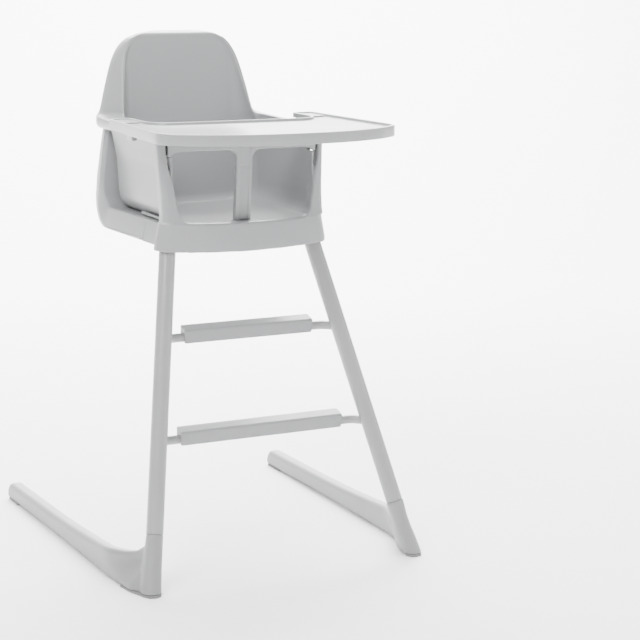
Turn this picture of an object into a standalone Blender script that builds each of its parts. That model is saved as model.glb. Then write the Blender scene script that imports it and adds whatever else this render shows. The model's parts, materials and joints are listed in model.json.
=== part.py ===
"""Baby high chair: a cantilevered tube frame that carries a junior seat shell,
with a lift-off baby insert (hood, side walls, arms), a front guard and a tray.

Metres, +Z up, front of the chair towards -Y, symmetric about X = 0.
The origin is on the floor under the middle of the footprint.
"""
import math

import bmesh
import bpy
from mathutils import Vector

# ---------------------------------------------------------------- dimensions
GAP = 0.0003              # clearance between touching pieces

# steel frame
TUBE_R = 0.014            # leg tube, 28 mm
TUBE_WALL = 0.0015
LEG_Z = 0.089             # height of the seam between leg tube and foot
LEG_X, LEG_Y = 0.220, -0.263   # leg axis at the seam
LEG_DX, LEG_DY = -0.201, 0.345  # drift of the axis per metre of height
LEG_TOP = 0.550
RUNG_R = 0.0075           # footrest rod, 15 mm
RUNG_BACK = 0.0240        # rod runs this far behind the leg axis
RUNG_Z = {"upper": 0.379, "lower": 0.2217}
TREAD_HALF = {"upper": 0.1175, "lower": 0.1480}
FOOT_IN, FOOT_OUT = 0.249, 0.273   # inner and outer face of a skid at the front
FOOT_REAR_IN, FOOT_REAR_OUT = 0.2535, 0.281
FOOT_REAR_Y = 0.3125
PAD_H = 0.004

# junior seat shell
SEAT_Z = 0.567            # sitting surface at its side edges
SHELL_FRONT = -0.130
SHIFT = Vector((0.0, 0.01375, 0.0))   # puts the middle of the footprint on the origin
SHELL_TOP = 0.846
BACK_LEAN = 0.142         # run per rise of the backrest
BEND_R = 0.025
SKIN = 0.004
SAG = 0.006               # the middle of the seat hangs this far below its edges
BOW = 0.010               # the front edge swells forward this far
BOW_HALF = 0.152

# baby insert
PAN_LOW, PAN_Z = 0.5674, 0.5720   # underside and top of the pan at its edges
ARM_LOW, ARM_TOP = 0.700, 0.722
ARM_OUT, ARM_IN = 0.1565, 0.134
HOOD_TOP = 0.8665
FACE_Y = -0.1345          # front face of the apron

# tray
TRAY_TOP = 0.731
TRAY_FRONT = -0.340
TRAY_LOW = 0.713
TRAY_UNDER = 0.7226

# ---------------------------------------------------------------- scene setup
for old in list(bpy.data.objects):
    bpy.data.objects.remove(old, do_unlink=True)

parts = bpy.data.collections.new("baby_high_chair")
cutters = bpy.data.collections.new("cutters")
for coll in (parts, cutters):
    bpy.context.scene.collection.children.link(coll)

SHELL_GREY = (0.62, 0.63, 0.64)
STEEL_GREY = (0.56, 0.57, 0.58)
RUBBER = (0.42, 0.42, 0.42)
BLACK = (0.012, 0.012, 0.013)
ZINC = (0.55, 0.56, 0.58)


def material(name, colour, rough=0.45, metal=0.0):
    mat = bpy.data.materials.new(name)
    mat.use_nodes = True
    bsdf = mat.node_tree.nodes["Principled BSDF"]
    bsdf.inputs["Base Color"].default_value = (*colour, 1.0)
    bsdf.inputs["Roughness"].default_value = rough
    bsdf.inputs["Metallic"].default_value = metal
    return mat


def add(name, verts, faces, look=None, origin=(0, 0, 0)):
    """Object from vertices in world metres; look is (colour, rough, metal)."""
    o = Vector(origin)
    mesh = bpy.data.meshes.new(name)
    mesh.from_pydata([Vector(v) - o for v in verts], [], faces)
    mesh.validate()
    bm = bmesh.new()
    bm.from_mesh(mesh)
    bmesh.ops.remove_doubles(bm, verts=bm.verts, dist=1e-6)
    bmesh.ops.triangulate(bm, faces=bm.faces)
    bmesh.ops.recalc_face_normals(bm, faces=bm.faces)
    bm.to_mesh(mesh)
    bm.free()
    obj = bpy.data.objects.new(name, mesh)
    obj.location = o + SHIFT
    if look:
        obj.data.materials.append(material(name + "_material", *look))
        parts.objects.link(obj)
    else:
        obj.hide_render = True
        obj.display_type = "WIRE"
        cutters.objects.link(obj)
    return obj


def boolean(obj, other, operation="DIFFERENCE"):
    mod = obj.modifiers.new(operation.lower() + "_" + other.name, "BOOLEAN")
    mod.operation = operation
    mod.solver = "EXACT"
    mod.object = other
    return obj


def loft(name, rings, look=None, origin=(0, 0, 0), closed=False, strip=False):
    """Skin through equal-length rings, capped at both ends unless closed.

    A strip cap joins the first half of a ring to its second half, so a curved
    end keeps its curve.
    """
    n = len(rings[0])
    verts = [p for ring in rings for p in ring]
    faces = []
    count = len(rings) if closed else len(rings) - 1
    for i in range(count):
        a, b = i * n, ((i + 1) % len(rings)) * n
        for j in range(n):
            k = (j + 1) % n
            faces.append((a + j, a + k, b + k, b + j))
    last = (len(rings) - 1) * n
    if strip:
        for j in range(n // 2 - 1):
            quad = (j, j + 1, n - 2 - j, n - 1 - j)
            faces.append(quad[::-1])
            faces.append(tuple(last + k for k in quad))
    elif not closed:
        faces.append(tuple(range(n))[::-1])
        faces.append(tuple(range(last, last + n)))
    return add(name, verts, faces, look, origin)


def smooth(t):
    t = min(1.0, max(0.0, t))
    return t * t * (3 - 2 * t)


def table(knots, t):
    """Piecewise linear value at t from (position, value) pairs."""
    if t <= knots[0][0]:
        return knots[0][1]
    for (t0, v0), (t1, v1) in zip(knots, knots[1:]):
        if t <= t1:
            return v0 + (v1 - v0) * (t - t0) / (t1 - t0)
    return knots[-1][1]


def arc(cx, cy, r, a0, a1, n):
    """Points on an arc, angles in degrees."""
    out = []
    for i in range(n + 1):
        a = math.radians(a0 + (a1 - a0) * i / n)
        out.append((cx + r * math.cos(a), cy + r * math.sin(a)))
    return out


def rounded(x0, x1, y0, y1, radii, n=5, mid=0, side=()):
    """Rounded rectangle outline; radii run from (x0, y0) anticlockwise.

    mid adds that many points along the front edge and along the rear edge,
    side adds points at the listed y on the left and right edges.
    """
    ra, rb, rc, rd = radii
    steps = [(k + 1) / (mid + 1) for k in range(mid)]
    front = [(x0 + ra + (x1 - rb - x0 - ra) * t, y0) for t in steps]
    rear = [(x1 - rc + (x0 + rd - x1 + rc) * t, y1) for t in steps]
    return (arc(x0 + ra, y0 + ra, ra, 180, 270, n) + front
            + arc(x1 - rb, y0 + rb, rb, 270, 360, n) + [(x1, y) for y in side]
            + arc(x1 - rc, y1 - rc, rc, 0, 90, n) + rear
            + arc(x0 + rd, y1 - rd, rd, 90, 180, n) + [(x0, y) for y in side[::-1]])


def ring_xy(outline, z):
    return [(x, y, z) for x, y in outline]


def slab(name, outline, z0, z1, look=None, origin=(0, 0, 0)):
    return loft(name, [ring_xy(outline, z0), ring_xy(outline, z1)], look, origin)


def box(name, lo, hi, look=None, origin=(0, 0, 0)):
    outline = [(lo[0], lo[1]), (hi[0], lo[1]), (hi[0], hi[1]), (lo[0], hi[1])]
    return slab(name, outline, lo[2], hi[2], look, origin)


def frame_at(direction):
    t = Vector(direction).normalized()
    side = t.cross(Vector((0, 1, 0))) if abs(t.y) < 0.9 else t.cross(Vector((1, 0, 0)))
    side.normalize()
    return t, side, side.cross(t)


def circle(centre, direction, r, n=24):
    c = Vector(centre)
    _, u, v = frame_at(direction)
    return [c + r * (math.cos(2 * math.pi * k / n) * u + math.sin(2 * math.pi * k / n) * v)
            for k in range(n)]


def rod(name, start, end, r, look=None, n=24, origin=(0, 0, 0)):
    d = Vector(end) - Vector(start)
    return loft(name, [circle(start, d, r, n), circle(end, d, r, n)], look, origin)


def pipe(name, start, end, r_out, r_in, look=None, n=28):
    d = Vector(end) - Vector(start)
    rings = [circle(start, d, r_in, n), circle(start, d, r_out, n),
             circle(end, d, r_out, n), circle(end, d, r_in, n)]
    return loft(name, rings, look, closed=True)


def bow(p):
    """Forward swell shared by everything at the front of the seat."""
    x, y, z = p
    span = max(0.0, 1 - (x / BOW_HALF) ** 2)
    return (x, y - BOW * span * smooth((-0.03 - y) / 0.08), z)


def hang(x):
    """How far the middle of the seat and backrest is hollowed at x."""
    return SAG * max(0.0, 1 - (x / BOW_HALF) ** 2)


def sag(p):
    """Forward swell plus the hang of the seat across its width."""
    x, y, z = bow(p)
    return (x, y, z - hang(x) * (1 - smooth((z - 0.585) / 0.05)))


def end_round(d, r):
    """How far a corner of radius r pulls an edge in at distance d from its end."""
    return r - math.sqrt(max(0.0, r * r - (r - d) ** 2)) if d < r else 0.0


def leg_axis(side, z):
    return Vector((side * (LEG_X + LEG_DX * (z - LEG_Z)), LEG_Y + LEG_DY * (z - LEG_Z), z))


SIDES = (("left", -1), ("right", 1))

# ---------------------------------------------------------------- leg frame
LEG_DIR = {s: (leg_axis(s, 1.0) - leg_axis(s, 0.0)).normalized() for _, s in SIDES}
BOLT_Z = 0.543
BOLT_FACE = -0.088

for label, s in SIDES:
    seam, top = leg_axis(s, LEG_Z), leg_axis(s, LEG_TOP)
    bolt_x = leg_axis(s, BOLT_Z).x
    bolt_hole = rod("bolt_hole_" + label, (bolt_x, -0.112, BOLT_Z), (bolt_x, -0.078, BOLT_Z),
                    0.0033, n=16)
    leg = pipe("leg_tube_" + label, seam, top, TUBE_R, TUBE_R - TUBE_WALL,
               (STEEL_GREY, 0.35, 0.0))
    boolean(leg, bolt_hole)

    # socket block that clamps the leg under the seat
    rings = []
    for z in (0.5335, 0.5515):
        shift = -0.19 * (z - 0.5335)
        pts = rounded(0.108, 0.1432 + shift, -0.1256, BOLT_FACE, (0.003, 0.0125, 0.003, 0.003), 4)
        rings.append([(s * x, y, z) for x, y in pts])
    socket = loft("leg_socket_" + label, rings, (ZINC, 0.5, 0.0))
    bore = rod("socket_bore_" + label, leg_axis(s, 0.50), leg_axis(s, 0.58), TUBE_R + GAP, n=28)
    boolean(socket, bore)
    boolean(socket, bolt_hole)

    # bolt through socket and near wall of the tube
    head = [circle((bolt_x, y, BOLT_Z), (0, 1, 0), r, 16)
            for y, r in ((-0.106, 0.003), (BOLT_FACE + GAP, 0.003), (BOLT_FACE + GAP, 0.0055),
                         (BOLT_FACE + 0.0035, 0.0055), (BOLT_FACE + 0.0045, 0.0040))]
    loft("leg_bolt_" + label, head, (ZINC, 0.3, 1.0))

rod("seat_cross_tube", (-0.1077, -0.105, 0.5430), (0.1077, -0.105, 0.5430), 0.007,
    (STEEL_GREY, 0.35, 0.0))

# ---------------------------------------------------------------- footrest rungs
TREAD_ENDS = (0.0, 0.0012, 0.0040, 0.0090)

for level, z in RUNG_Z.items():
    post = leg_axis(1, z)
    y_mid = post.y + RUNG_BACK
    # rod turns forward over a round elbow and meets the leg behind its axis
    elbow_r, turn = 0.020, 45
    x_end = post.x - 0.006
    x_bend = x_end - elbow_r * math.sin(math.radians(turn)) - 0.010
    path = [(x_bend, y_mid)]
    for i in range(1, 6):
        a = math.radians(turn * i / 5)
        path.append((x_bend + elbow_r * math.sin(a), y_mid - elbow_r * (1 - math.cos(a))))
    path.append((path[-1][0] + 0.014, path[-1][1] - 0.014))
    half = [(Vector((x, y, z)), i) for i, (x, y) in enumerate(path)]
    right = [p for p, _ in half]
    left = [Vector((-p.x, p.y, p.z)) for p in reversed(right)]
    line = left + right
    rings = []
    for i, p in enumerate(line):
        before, after = line[max(0, i - 1)], line[min(len(line) - 1, i + 1)]
        d = (after - before).normalized()
        side = Vector((0, 0, 1)).cross(d).normalized()
        rings.append([p + RUNG_R * (math.cos(2 * math.pi * k / 20) * side
                                    + math.sin(2 * math.pi * k / 20) * Vector((0, 0, 1)))
                      for k in range(20)])
    rung = loft(level + "_rung", rings, (STEEL_GREY, 0.35, 0.0))
    for label, s in SIDES:
        mouth = rod(f"{level}_mouth_{label}", leg_axis(s, z - 0.06), leg_axis(s, z + 0.06),
                    TUBE_R + GAP, n=28)
        boolean(rung, mouth)

    # moulded tread that rides over the rod: front skirt, crowned top, rear lip
    r = RUNG_R + GAP
    profile = [(-0.0115, -0.0085), (-0.0115, -0.0020)]
    profile += arc(-0.0065, 0.0095, 0.005, 180, 100, 3)
    profile += [(0.0, 0.0166)]
    profile += arc(0.0100, 0.0150, 0.004, 100, 0, 3)
    profile += [(0.0140, 0.0058)]
    profile += arc(0, 0, r, 24, 180, 10)
    profile += [(-r, -0.0085)]
    half = TREAD_HALF[level]
    rings = []
    for sx, d in [(-1, d) for d in TREAD_ENDS] + [(1, d) for d in TREAD_ENDS[::-1]]:
        rear = max(0.0085, 0.0140 - end_round(d, 0.009))
        ring = []
        for py, pz in profile:
            cut = 0.0035 * smooth((-0.0020 - pz) / 0.0065) if py < -0.009 else 0.0
            ring.append((sx * (half - max(d, cut)), y_mid + min(py, rear), z + pz))
        rings.append(ring)
    loft(level + "_footrest", rings, (SHELL_GREY, 0.42, 0.0))

# ---------------------------------------------------------------- feet


def foot_section(y, z_low):
    """Cross-section of a skid at y: inner x, outer x and top height."""
    t = (y + 0.24) / (FOOT_REAR_Y + 0.24)
    inner = FOOT_IN + (FOOT_REAR_IN - FOOT_IN) * t
    outer = FOOT_OUT + (FOOT_REAR_OUT - FOOT_OUT) * t
    top = table([(-0.285, 0.074), (-0.26, 0.0640), (-0.24, 0.0570), (-0.19, 0.0510), (-0.10, 0.0440),
                 (0.05, 0.0365), (FOOT_REAR_Y, 0.0310)], y)
    return inner, outer, top, z_low


for label, s in SIDES:
    # skid: rounded sections along Y, swinging inwards to the post at the front
    stations = []
    for y in (FOOT_REAR_Y, FOOT_REAR_Y - 0.004, FOOT_REAR_Y - 0.012, 0.24, 0.12, 0.0, -0.10, -0.17,
              -0.205, -0.235, -0.258, -0.276, -0.290):
        inner, outer, top, low = foot_section(y, PAD_H + GAP)
        swing = 0.036 * smooth((-0.165 - y) / 0.12)
        arch = 0.0022 * max(0.0, 1 - ((y - 0.03) / 0.20) ** 2)
        round_end = table([(FOOT_REAR_Y - 0.012, 0.0), (FOOT_REAR_Y - 0.004, 0.0035),
                           (FOOT_REAR_Y, 0.010)], y)
        pts = rounded(inner - swing, outer - swing, low + arch, top - round_end,
                      (0.003, 0.003, 0.008, 0.008), 3)
        # the flank leans out below, where the skid widens over the pad
        pts = [(x + 0.85 * swing * (1 - smooth((z - low) / 0.045)), z) for x, z in pts]
        if y < -0.20:
            reach = 0.0165 + 0.8 * (y + 0.285)
            pts = [(min(max(x, leg_axis(1, z).x - 0.0130), leg_axis(1, z).x + reach), z)
                   for x, z in pts]
        # the front end leans back with the post it runs into
        follow = smooth((-0.215 - y) / 0.065)
        stations.append([(s * x, y + follow * (leg_axis(1, z).y - leg_axis(1, 0.0).y), z)
                         for x, z in pts])
    foot = loft("foot_" + label, stations, (SHELL_GREY, 0.42, 0.0))

    # post: blends from the tube's circle at the seam to a long footprint
    rings = []
    for z, rx_in, rx_out, front, rear in (
            (LEG_Z - GAP, TUBE_R, TUBE_R, TUBE_R, TUBE_R), (0.080, TUBE_R, TUBE_R, TUBE_R, 0.0165),
            (0.068, TUBE_R, TUBE_R, TUBE_R, 0.0235), (0.056, TUBE_R, 0.0145, 0.0142, 0.028),
            (0.044, TUBE_R, 0.0155, 0.0146, 0.034), (0.024, 0.0142, 0.0175, 0.0158, 0.038),
            (PAD_H + GAP, 0.0142, 0.0185, 0.0185, 0.040)):
        c = leg_axis(s, z)
        ring = []
        for k in range(24):
            a = 2 * math.pi * k / 24
            cx, cy = math.cos(a), math.sin(a)
            rx = rx_out if cx * s > 0 else rx_in
            ry = front if cy < 0 else rear
            tilt = 0.0
            if z > 0.085:
                tilt = -(cx * rx * LEG_DIR[s].x + cy * ry * LEG_DIR[s].y) / LEG_DIR[s].z
            ring.append((c.x + rx * cx, c.y + ry * cy, z + tilt))
        rings.append(ring)
    post = loft("foot_post_" + label, rings)
    boolean(foot, post, "UNION")
    spigot = rod("foot_spigot_" + label, leg_axis(s, 0.060), leg_axis(s, LEG_Z + 0.045),
                 TUBE_R - TUBE_WALL - GAP, n=24)
    boolean(foot, spigot, "UNION")

    # glide pads under the front and the rear of the skid
    c = leg_axis(s, 0.0)
    front_pad = [(abs(c.x) - 0.0145, -0.3000), (abs(c.x) - 0.009, -0.3095), (abs(c.x), -0.3125),
                 (abs(c.x) + 0.010, -0.3095), (abs(c.x) + 0.0165, -0.2980),
                 (FOOT_OUT - 0.0080, -0.266), (FOOT_OUT - 0.0030, -0.235),
                 (FOOT_IN + 0.001, -0.235), (FOOT_IN - 0.006, -0.258)]
    slab("front_pad_" + label, [(s * x, y) for x, y in front_pad], 0.0, PAD_H,
         (RUBBER, 0.8, 0.0))
    rear_pad = rounded(FOOT_REAR_IN + 0.0005, FOOT_REAR_OUT - 0.001, 0.260, FOOT_REAR_Y - 0.0005,
                       (0.003, 0.003, 0.005, 0.005), 3)
    slab("rear_pad_" + label, [(s * x, y) for x, y in rear_pad], 0.0, PAD_H, (RUBBER, 0.8, 0.0))

# ---------------------------------------------------------------- seat shell
LEAN = math.atan(BACK_LEAN)
LINE_Y, LINE_Z = 0.123, 0.600          # a point on the backrest's sitting surface
BEND_Z = SEAT_Z + BEND_R
BEND_Y = LINE_Y + (BEND_Z - LINE_Z) * BACK_LEAN - BEND_R / math.cos(LEAN)
SEAT_LEN = BEND_Y - SHELL_FRONT
BEND_LEN = BEND_R * (math.pi / 2 - LEAN)
BACK_START_Z = BEND_Z - BEND_R * math.sin(LEAN)
BACK_LEN = (SHELL_TOP - BACK_START_Z) / math.cos(LEAN)
PATH_LEN = SEAT_LEN + BEND_LEN + BACK_LEN


def path_at(s):
    """Point (y, z) of the sitting surface at length s and its rearward normal."""
    if s <= SEAT_LEN:
        return (SHELL_FRONT + s, SEAT_Z), (0.0, -1.0)
    if s <= SEAT_LEN + BEND_LEN:
        a = (s - SEAT_LEN) / BEND_R
        n = (math.sin(a), -math.cos(a))
        return (BEND_Y + BEND_R * n[0], BEND_Z + BEND_R * n[1]), n
    d = s - SEAT_LEN - BEND_LEN
    n = (math.cos(LEAN), -math.sin(LEAN))
    return (BEND_Y + BEND_R * n[0] + d * math.sin(LEAN),
            BEND_Z + BEND_R * n[1] + d * math.cos(LEAN)), n


def back_front_y(z):
    """Y of the sitting surface of the backrest at height z."""
    if z >= BACK_START_Z:
        return LINE_Y + (z - LINE_Z) * BACK_LEAN
    return BEND_Y + math.sqrt(max(0.0, BEND_R ** 2 - (BEND_Z - z) ** 2))


def shell_width(z):
    """Half width of the backrest at height z."""
    return table([(0.567, 0.153), (0.60, 0.1568), (0.65, 0.1495), (0.70, 0.1400), (0.78, 0.1205),
                  (0.846, 0.1060)], z)


def shell_params(s):
    """Half width, flare, flange depth, total depth and rear rounding at s."""
    (y, z), _ = path_at(s)
    on_back = smooth((s - SEAT_LEN + 0.015) / (BEND_LEN + 0.035))
    w_seat = 0.1428 + 0.0102 * (y - SHELL_FRONT) / (BEND_Y - SHELL_FRONT)
    w = w_seat if s < SEAT_LEN else shell_width(z)
    depth = table([(0, 0.036), (SEAT_LEN, 0.036), (SEAT_LEN + BEND_LEN * 0.5, 0.0435),
                   (SEAT_LEN + BEND_LEN, 0.050), (PATH_LEN, 0.034)], s)
    flange = depth * (1 - on_back) + 0.009 * on_back
    flare = 0.008 * (1 - on_back) + 0.0015 * on_back
    return w, flare, flange, depth, on_back


FRONT_CORNER, TOP_CORNER = 0.018, 0.042
COVER_START = 0.075       # length along the seat where the rear skin begins


def to_world(x, s, n):
    (y, z), (ny, nz) = path_at(s)
    return (x, y + n * ny, z + n * nz)


def skin_ring(s, inset):
    """Closed section of the sitting skin; inset > 0 opens its rear cavity."""
    w, flare, flange, depth, on_back = shell_params(s)
    front, top = s, PATH_LEN - s
    pull = max(end_round(front, FRONT_CORNER), end_round(top, TOP_CORNER))
    lip = max(end_round(front, 0.006), end_round(top, 0.006))
    if s > COVER_START:
        flange = min(flange, depth - 0.0033)
    w -= pull
    wi = w + pull - SKIN - max(end_round(max(front - SKIN, 0), FRONT_CORNER - SKIN),
                               end_round(max(top - SKIN, 0), TOP_CORNER - SKIN))
    level = SKIN if inset else flange - 0.0006
    pts = []
    edge = 0.005
    outer = [(-w - flare, flange), (-w - flare * edge / flange, edge)]
    outer += [(-w + edge + edge * math.cos(math.radians(a)), edge - edge * math.sin(math.radians(a)))
              for a in (150, 120, 90)]
    for k in range(1, 12):
        x = (-1 + k / 6) * (w - edge)
        outer.append((x, 0.0))
    outer += [(-x, n) for x, n in reversed(outer[:5])]
    pts += [(x, max(n, lip) + hang(x)) for x, n in outer]
    inner = [(wi + flare * 0.9, flange)] + [((1 - k / 4) * (wi if k else wi), level)
                                          for k in range(0, 9)] + [(-wi - flare * 0.9, flange)]
    pts += [(x, n + hang(x)) for x, n in inner]
    return [bow(to_world(x, s, n)) for x, n in pts]


def shell_stations(start, end):
    """Lengths along the path, closer together at rounded ends and in the bend."""
    marks = {start, end}
    for d in (0.0015, 0.004, 0.008, 0.013, 0.020):
        marks.add(d)
    for d in (0.0015, 0.004, 0.008, 0.014, 0.022, 0.032, 0.042):
        marks.add(PATH_LEN - d)
    marks |= {SEAT_LEN - 0.012, SEAT_LEN + BEND_LEN + 0.015}
    for k in range(9):
        marks.add(SEAT_LEN + BEND_LEN * k / 8)
    marks |= {0.045, COVER_START, COVER_START + 0.0002, 0.12, 0.16, 0.35, 0.40, 0.45}
    return sorted(m for m in marks if start <= m <= end)


def build_skin():
    # walls of the cavity at both ends: the same station closed, then open
    front_closed, front_open = skin_ring(SKIN, 0), skin_ring(SKIN + 0.0002, 1)
    back_open, back_closed = skin_ring(PATH_LEN - SKIN - 0.0002, 1), skin_ring(PATH_LEN - SKIN, 0)
    stations = shell_stations(0.0, PATH_LEN)
    out = [skin_ring(s, 0) for s in stations if s < SKIN - 1e-9] + [front_closed, front_open]
    out += [skin_ring(s, 1) for s in stations if SKIN + 0.001 < s < PATH_LEN - SKIN - 0.001]
    out += [back_open, back_closed]
    out += [skin_ring(s, 0) for s in stations if s > PATH_LEN - SKIN + 1e-9]
    return loft("seat_shell", out, (SHELL_GREY, 0.42, 0.0))


build_skin()


def cover_ring(s):
    """Closed section of the rear skin, which closes the back and the underside."""
    w, flare, flange, depth, on_back = shell_params(s)
    top = PATH_LEN - s
    w -= end_round(top, TOP_CORNER)
    flange = min(flange, depth - 0.0033)
    n0 = flange + GAP
    tip = flange / max(depth, 1e-6)
    w0 = w + flare * (1 if tip > 0.9 else tip)
    rounding = max(0.0015, min(0.028, depth - n0) * on_back)
    n1 = depth - (end_round(top, 0.022) * (depth - n0 - 0.0045) / 0.022 if top < 0.022 else 0)
    rounding = min(rounding, n1 - n0 - 0.0004)
    thick = 0.003
    outer = [(-w0, n0)]
    for k in range(0, 6):
        a = math.radians(90 * k / 5)
        outer.append((-w0 + rounding * (1 - math.cos(a)), n1 - rounding * (1 - math.sin(a))))
    span = w0 - rounding
    for k in range(1, 8):
        outer.append((-span + span * k / 4, n1))
    outer += [(-x, n) for x, n in reversed(outer[:7])]
    wi = w0 - thick
    ri = max(0.0008, rounding - thick)
    level = max(n1 - thick, n0 + 0.0002)
    inner = [(wi, n0)]
    for k in range(0, 4):
        a = math.radians(30 * k)
        inner.append((wi - ri * (1 - math.cos(a)), max(level - ri * (1 - math.sin(a)), n0 + 0.0001)))
    for k in range(1, 6):
        inner.append(((wi - ri) * (1 - k / 3), level))
    inner += [(-x, n) for x, n in reversed(inner[:5])]
    return [bow(to_world(x, s, n + hang(x))) for x, n in outer + inner]


cover_stations = [s for s in shell_stations(COVER_START + 0.0004, PATH_LEN - 0.0001)]
loft("back_cover", [cover_ring(s) for s in cover_stations], (SHELL_GREY, 0.42, 0.0))

# ---------------------------------------------------------------- baby insert
CLEAR = 0.0008
BUCKET_A = [(PAN_LOW, 0.1105), (0.5687, 0.116), (0.571, 0.1205), (0.575, 0.124),
            (0.580, 0.1270), (0.586, 0.1287), (0.592, 0.1295), (0.600, 0.130),
            (0.650, 0.131), (0.6700, 0.1335), (0.7035, 0.1385)]
HOOD_A = [(0.700, 0.1495), (0.7035, 0.1540), (0.7080, 0.1560), (0.7125, ARM_OUT),
          (0.7185, ARM_OUT), (0.7235, 0.1545), (0.728, 0.1515), (0.739, 0.1480), (0.775, 0.1380),
          (0.8277, 0.1220), (0.843, 0.1140), (0.8545, 0.1020), (0.862, 0.0860),
          (HOOD_TOP, 0.0660)]
HOOD_BACK = [(0.700, 0.1975), (0.7045, 0.2000), (0.8277, 0.2000), (0.843, 0.1990), (0.8545, 0.1965),
             (0.862, 0.1920), (HOOD_TOP, 0.1840)]
CAVITY_A = [(PAN_Z, 0.104), (0.5745, 0.113), (0.579, 0.1190), (0.589, 0.1240), (0.602, 0.1260),
            (0.650, 0.1268), (0.700, 0.1262), (0.7302, 0.1208), (0.771, 0.1140), (0.8025, 0.1083),
            (0.828, 0.1028), (0.841, 0.0968), (0.851, 0.0885), (0.858, 0.0780), (0.8625, 0.0640)]
GUARD_LOW, GUARD_TOP = 0.6772, 0.7125
GUARD_HALF = 0.1345
ROOM_HALF = 0.1378         # half width of the space between the column tops
COLUMN_DEPTH = 0.023


def face_y(z):
    """Front face of the columns: leans back with height."""
    return table([(0.565, FACE_Y), (0.581, -0.1318), (0.616, -0.1280), (0.704, -0.1205)], z)


def guard_y(z):
    """Front face of the guard: the foot of its post stands back from the edge."""
    return table([(0.566, -0.1120), (0.690, -0.1210), (GUARD_TOP, -0.1222)], z)


bucket_rings = []
for z, a in BUCKET_A:
    y_back = back_front_y(z) - CLEAR
    outline = rounded(-a, a, face_y(z) + 0.0022, y_back, (0.006, 0.006, 0.012, 0.012), mid=7)
    bucket_rings.append([sag(p) for p in ring_xy(outline, z)])
insert = loft("seat_insert", bucket_rings, (SHELL_GREY, 0.42, 0.0), strip=True)

hood_rings = []
for z, a in HOOD_A:
    r = table([(0.73, 0.059), (0.80, 0.050)], z)
    outline = rounded(-a, a, -0.1200, table(HOOD_BACK, z), (0.010, 0.010, r, r), 6, mid=8,
                      side=(0.02, 0.11))
    if z > 0.723:
        # above the arms the sides close in towards the front
        start = table([(0.7267, 0.168), (0.7694, 0.170), (0.814, 0.176), (0.8406, 0.184)], z)
        outline = [(x * max(0.2, 1 - 0.45 * max(0.0, start - y) / a), y) for x, y in outline]
    hood_rings.append([bow(p) for p in ring_xy(outline, z)])
boolean(insert, loft("hood_block", hood_rings, strip=True), "UNION")

cavity_rings = []
for z, a in CAVITY_A:
    y_back = back_front_y(z + 0.001) - CLEAR - 0.0035
    r = table([(0.72, 0.034), (0.78, 0.024), (0.82, 0.014), (0.85, 0.009)], z)
    outline = rounded(-a, a, -0.185, y_back, (0.001, 0.001, r, r), mid=7)
    cavity_rings.append([sag(p) for p in ring_xy(outline, z)])
boolean(insert, loft("occupant_space", cavity_rings, strip=True))

pocket_rings = []
for z in (0.6812, 0.7131, 0.7433, 0.7837, 0.8117, 0.8261, 0.8359, 0.8441, 0.8507):
    d = max(0.0, 0.8507 - z)
    a = shell_width(z) + 0.0035 - end_round(d, TOP_CORNER) * 0.92
    depth = 0.1965 - back_front_y(z)
    r = min(0.046, depth - 0.004)
    outline = rounded(-a, a, back_front_y(z) - 0.0003, 0.1965, (0.003, 0.003, r, r), 7)
    pocket_rings.append(ring_xy(outline, z))
boolean(insert, loft("shell_pocket", pocket_rings, strip=True))

# everything in front of the wings and above the arms is open
side_profile = [(-0.25, ARM_TOP), (0.090, ARM_TOP)]
side_profile += arc(0.090, ARM_TOP + 0.020, 0.020, 270, 345, 5)[1:]
side_profile += [(0.1225, 0.7694), (0.1385, 0.812), (0.1472, 0.8350), (0.1526, 0.8480),
                 (0.1549, 0.8590), (0.1578, 0.8628), (0.1640, 0.8655), (0.175, 0.8675),
                 (0.175, 0.92), (-0.25, 0.92)]
open_front = loft("open_front", [[(x, y, z) for y, z in side_profile] for x in (-0.2, 0.2)])
boolean(insert, open_front)

# the arms stand clear of the wings, and the guard has room between the columns
arm_gap = rounded(-ARM_IN, ARM_IN, -0.19, 0.100, (0.001, 0.001, 0.020, 0.020), mid=7)
boolean(insert, slab("arm_gap", arm_gap, 0.6993, 0.7310))
guard_room = box("guard_room", (-ROOM_HALF, -0.19, GUARD_LOW - 0.001), (ROOM_HALF, -0.1040, 0.75))
boolean(insert, guard_room)

# corner columns between the apron and the arms
COLUMN = [(0.5705, 0.1040, 0.1474), (0.5740, 0.1110, 0.1468), (0.5814, 0.1178, 0.1463),
          (0.600, 0.1226, 0.1464), (0.616, 0.1254, 0.1467), (0.632, 0.1285, 0.1476),
          (0.655, 0.1342, 0.1490), (GUARD_LOW - 0.003, 0.1379, 0.1497), (0.690, 0.1382, 0.1510),
          (0.7040, 0.1382, 0.1517)]
for label, s in SIDES:
    rings = []
    for z, x_in, x_out in COLUMN:
        y0 = face_y(z)
        outline = rounded(x_in, x_out, y0, y0 + COLUMN_DEPTH, (0.003, 0.0095, 0.002, 0.002), 5)
        rings.append([sag((s * x, y, z)) for x, y in outline])
    boolean(insert, loft("column_" + label, rings, strip=True), "UNION")


def apron_outline(a):
    """U-shaped strip in plan: across the front and round both shell corners."""
    t, r, tail = 0.0034, 0.020, -0.108
    outer = [(-a, tail)] + arc(-a + r, FACE_Y + r, r, 180, 270, 5)
    outer += [((-1 + k / 4) * (a - r), FACE_Y) for k in range(1, 8)]
    outer += arc(a - r, FACE_Y + r, r, 270, 360, 5) + [(a, tail)]
    inner = [(-a + t, tail)] + arc(-a + r, FACE_Y + r, r - t, 180, 270, 5)
    inner += [((-1 + k / 4) * (a - r), FACE_Y + t) for k in range(1, 8)]
    inner += arc(a - r, FACE_Y + r, r - t, 270, 360, 5) + [(a - t, tail)]
    return outer + inner[::-1]


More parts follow.
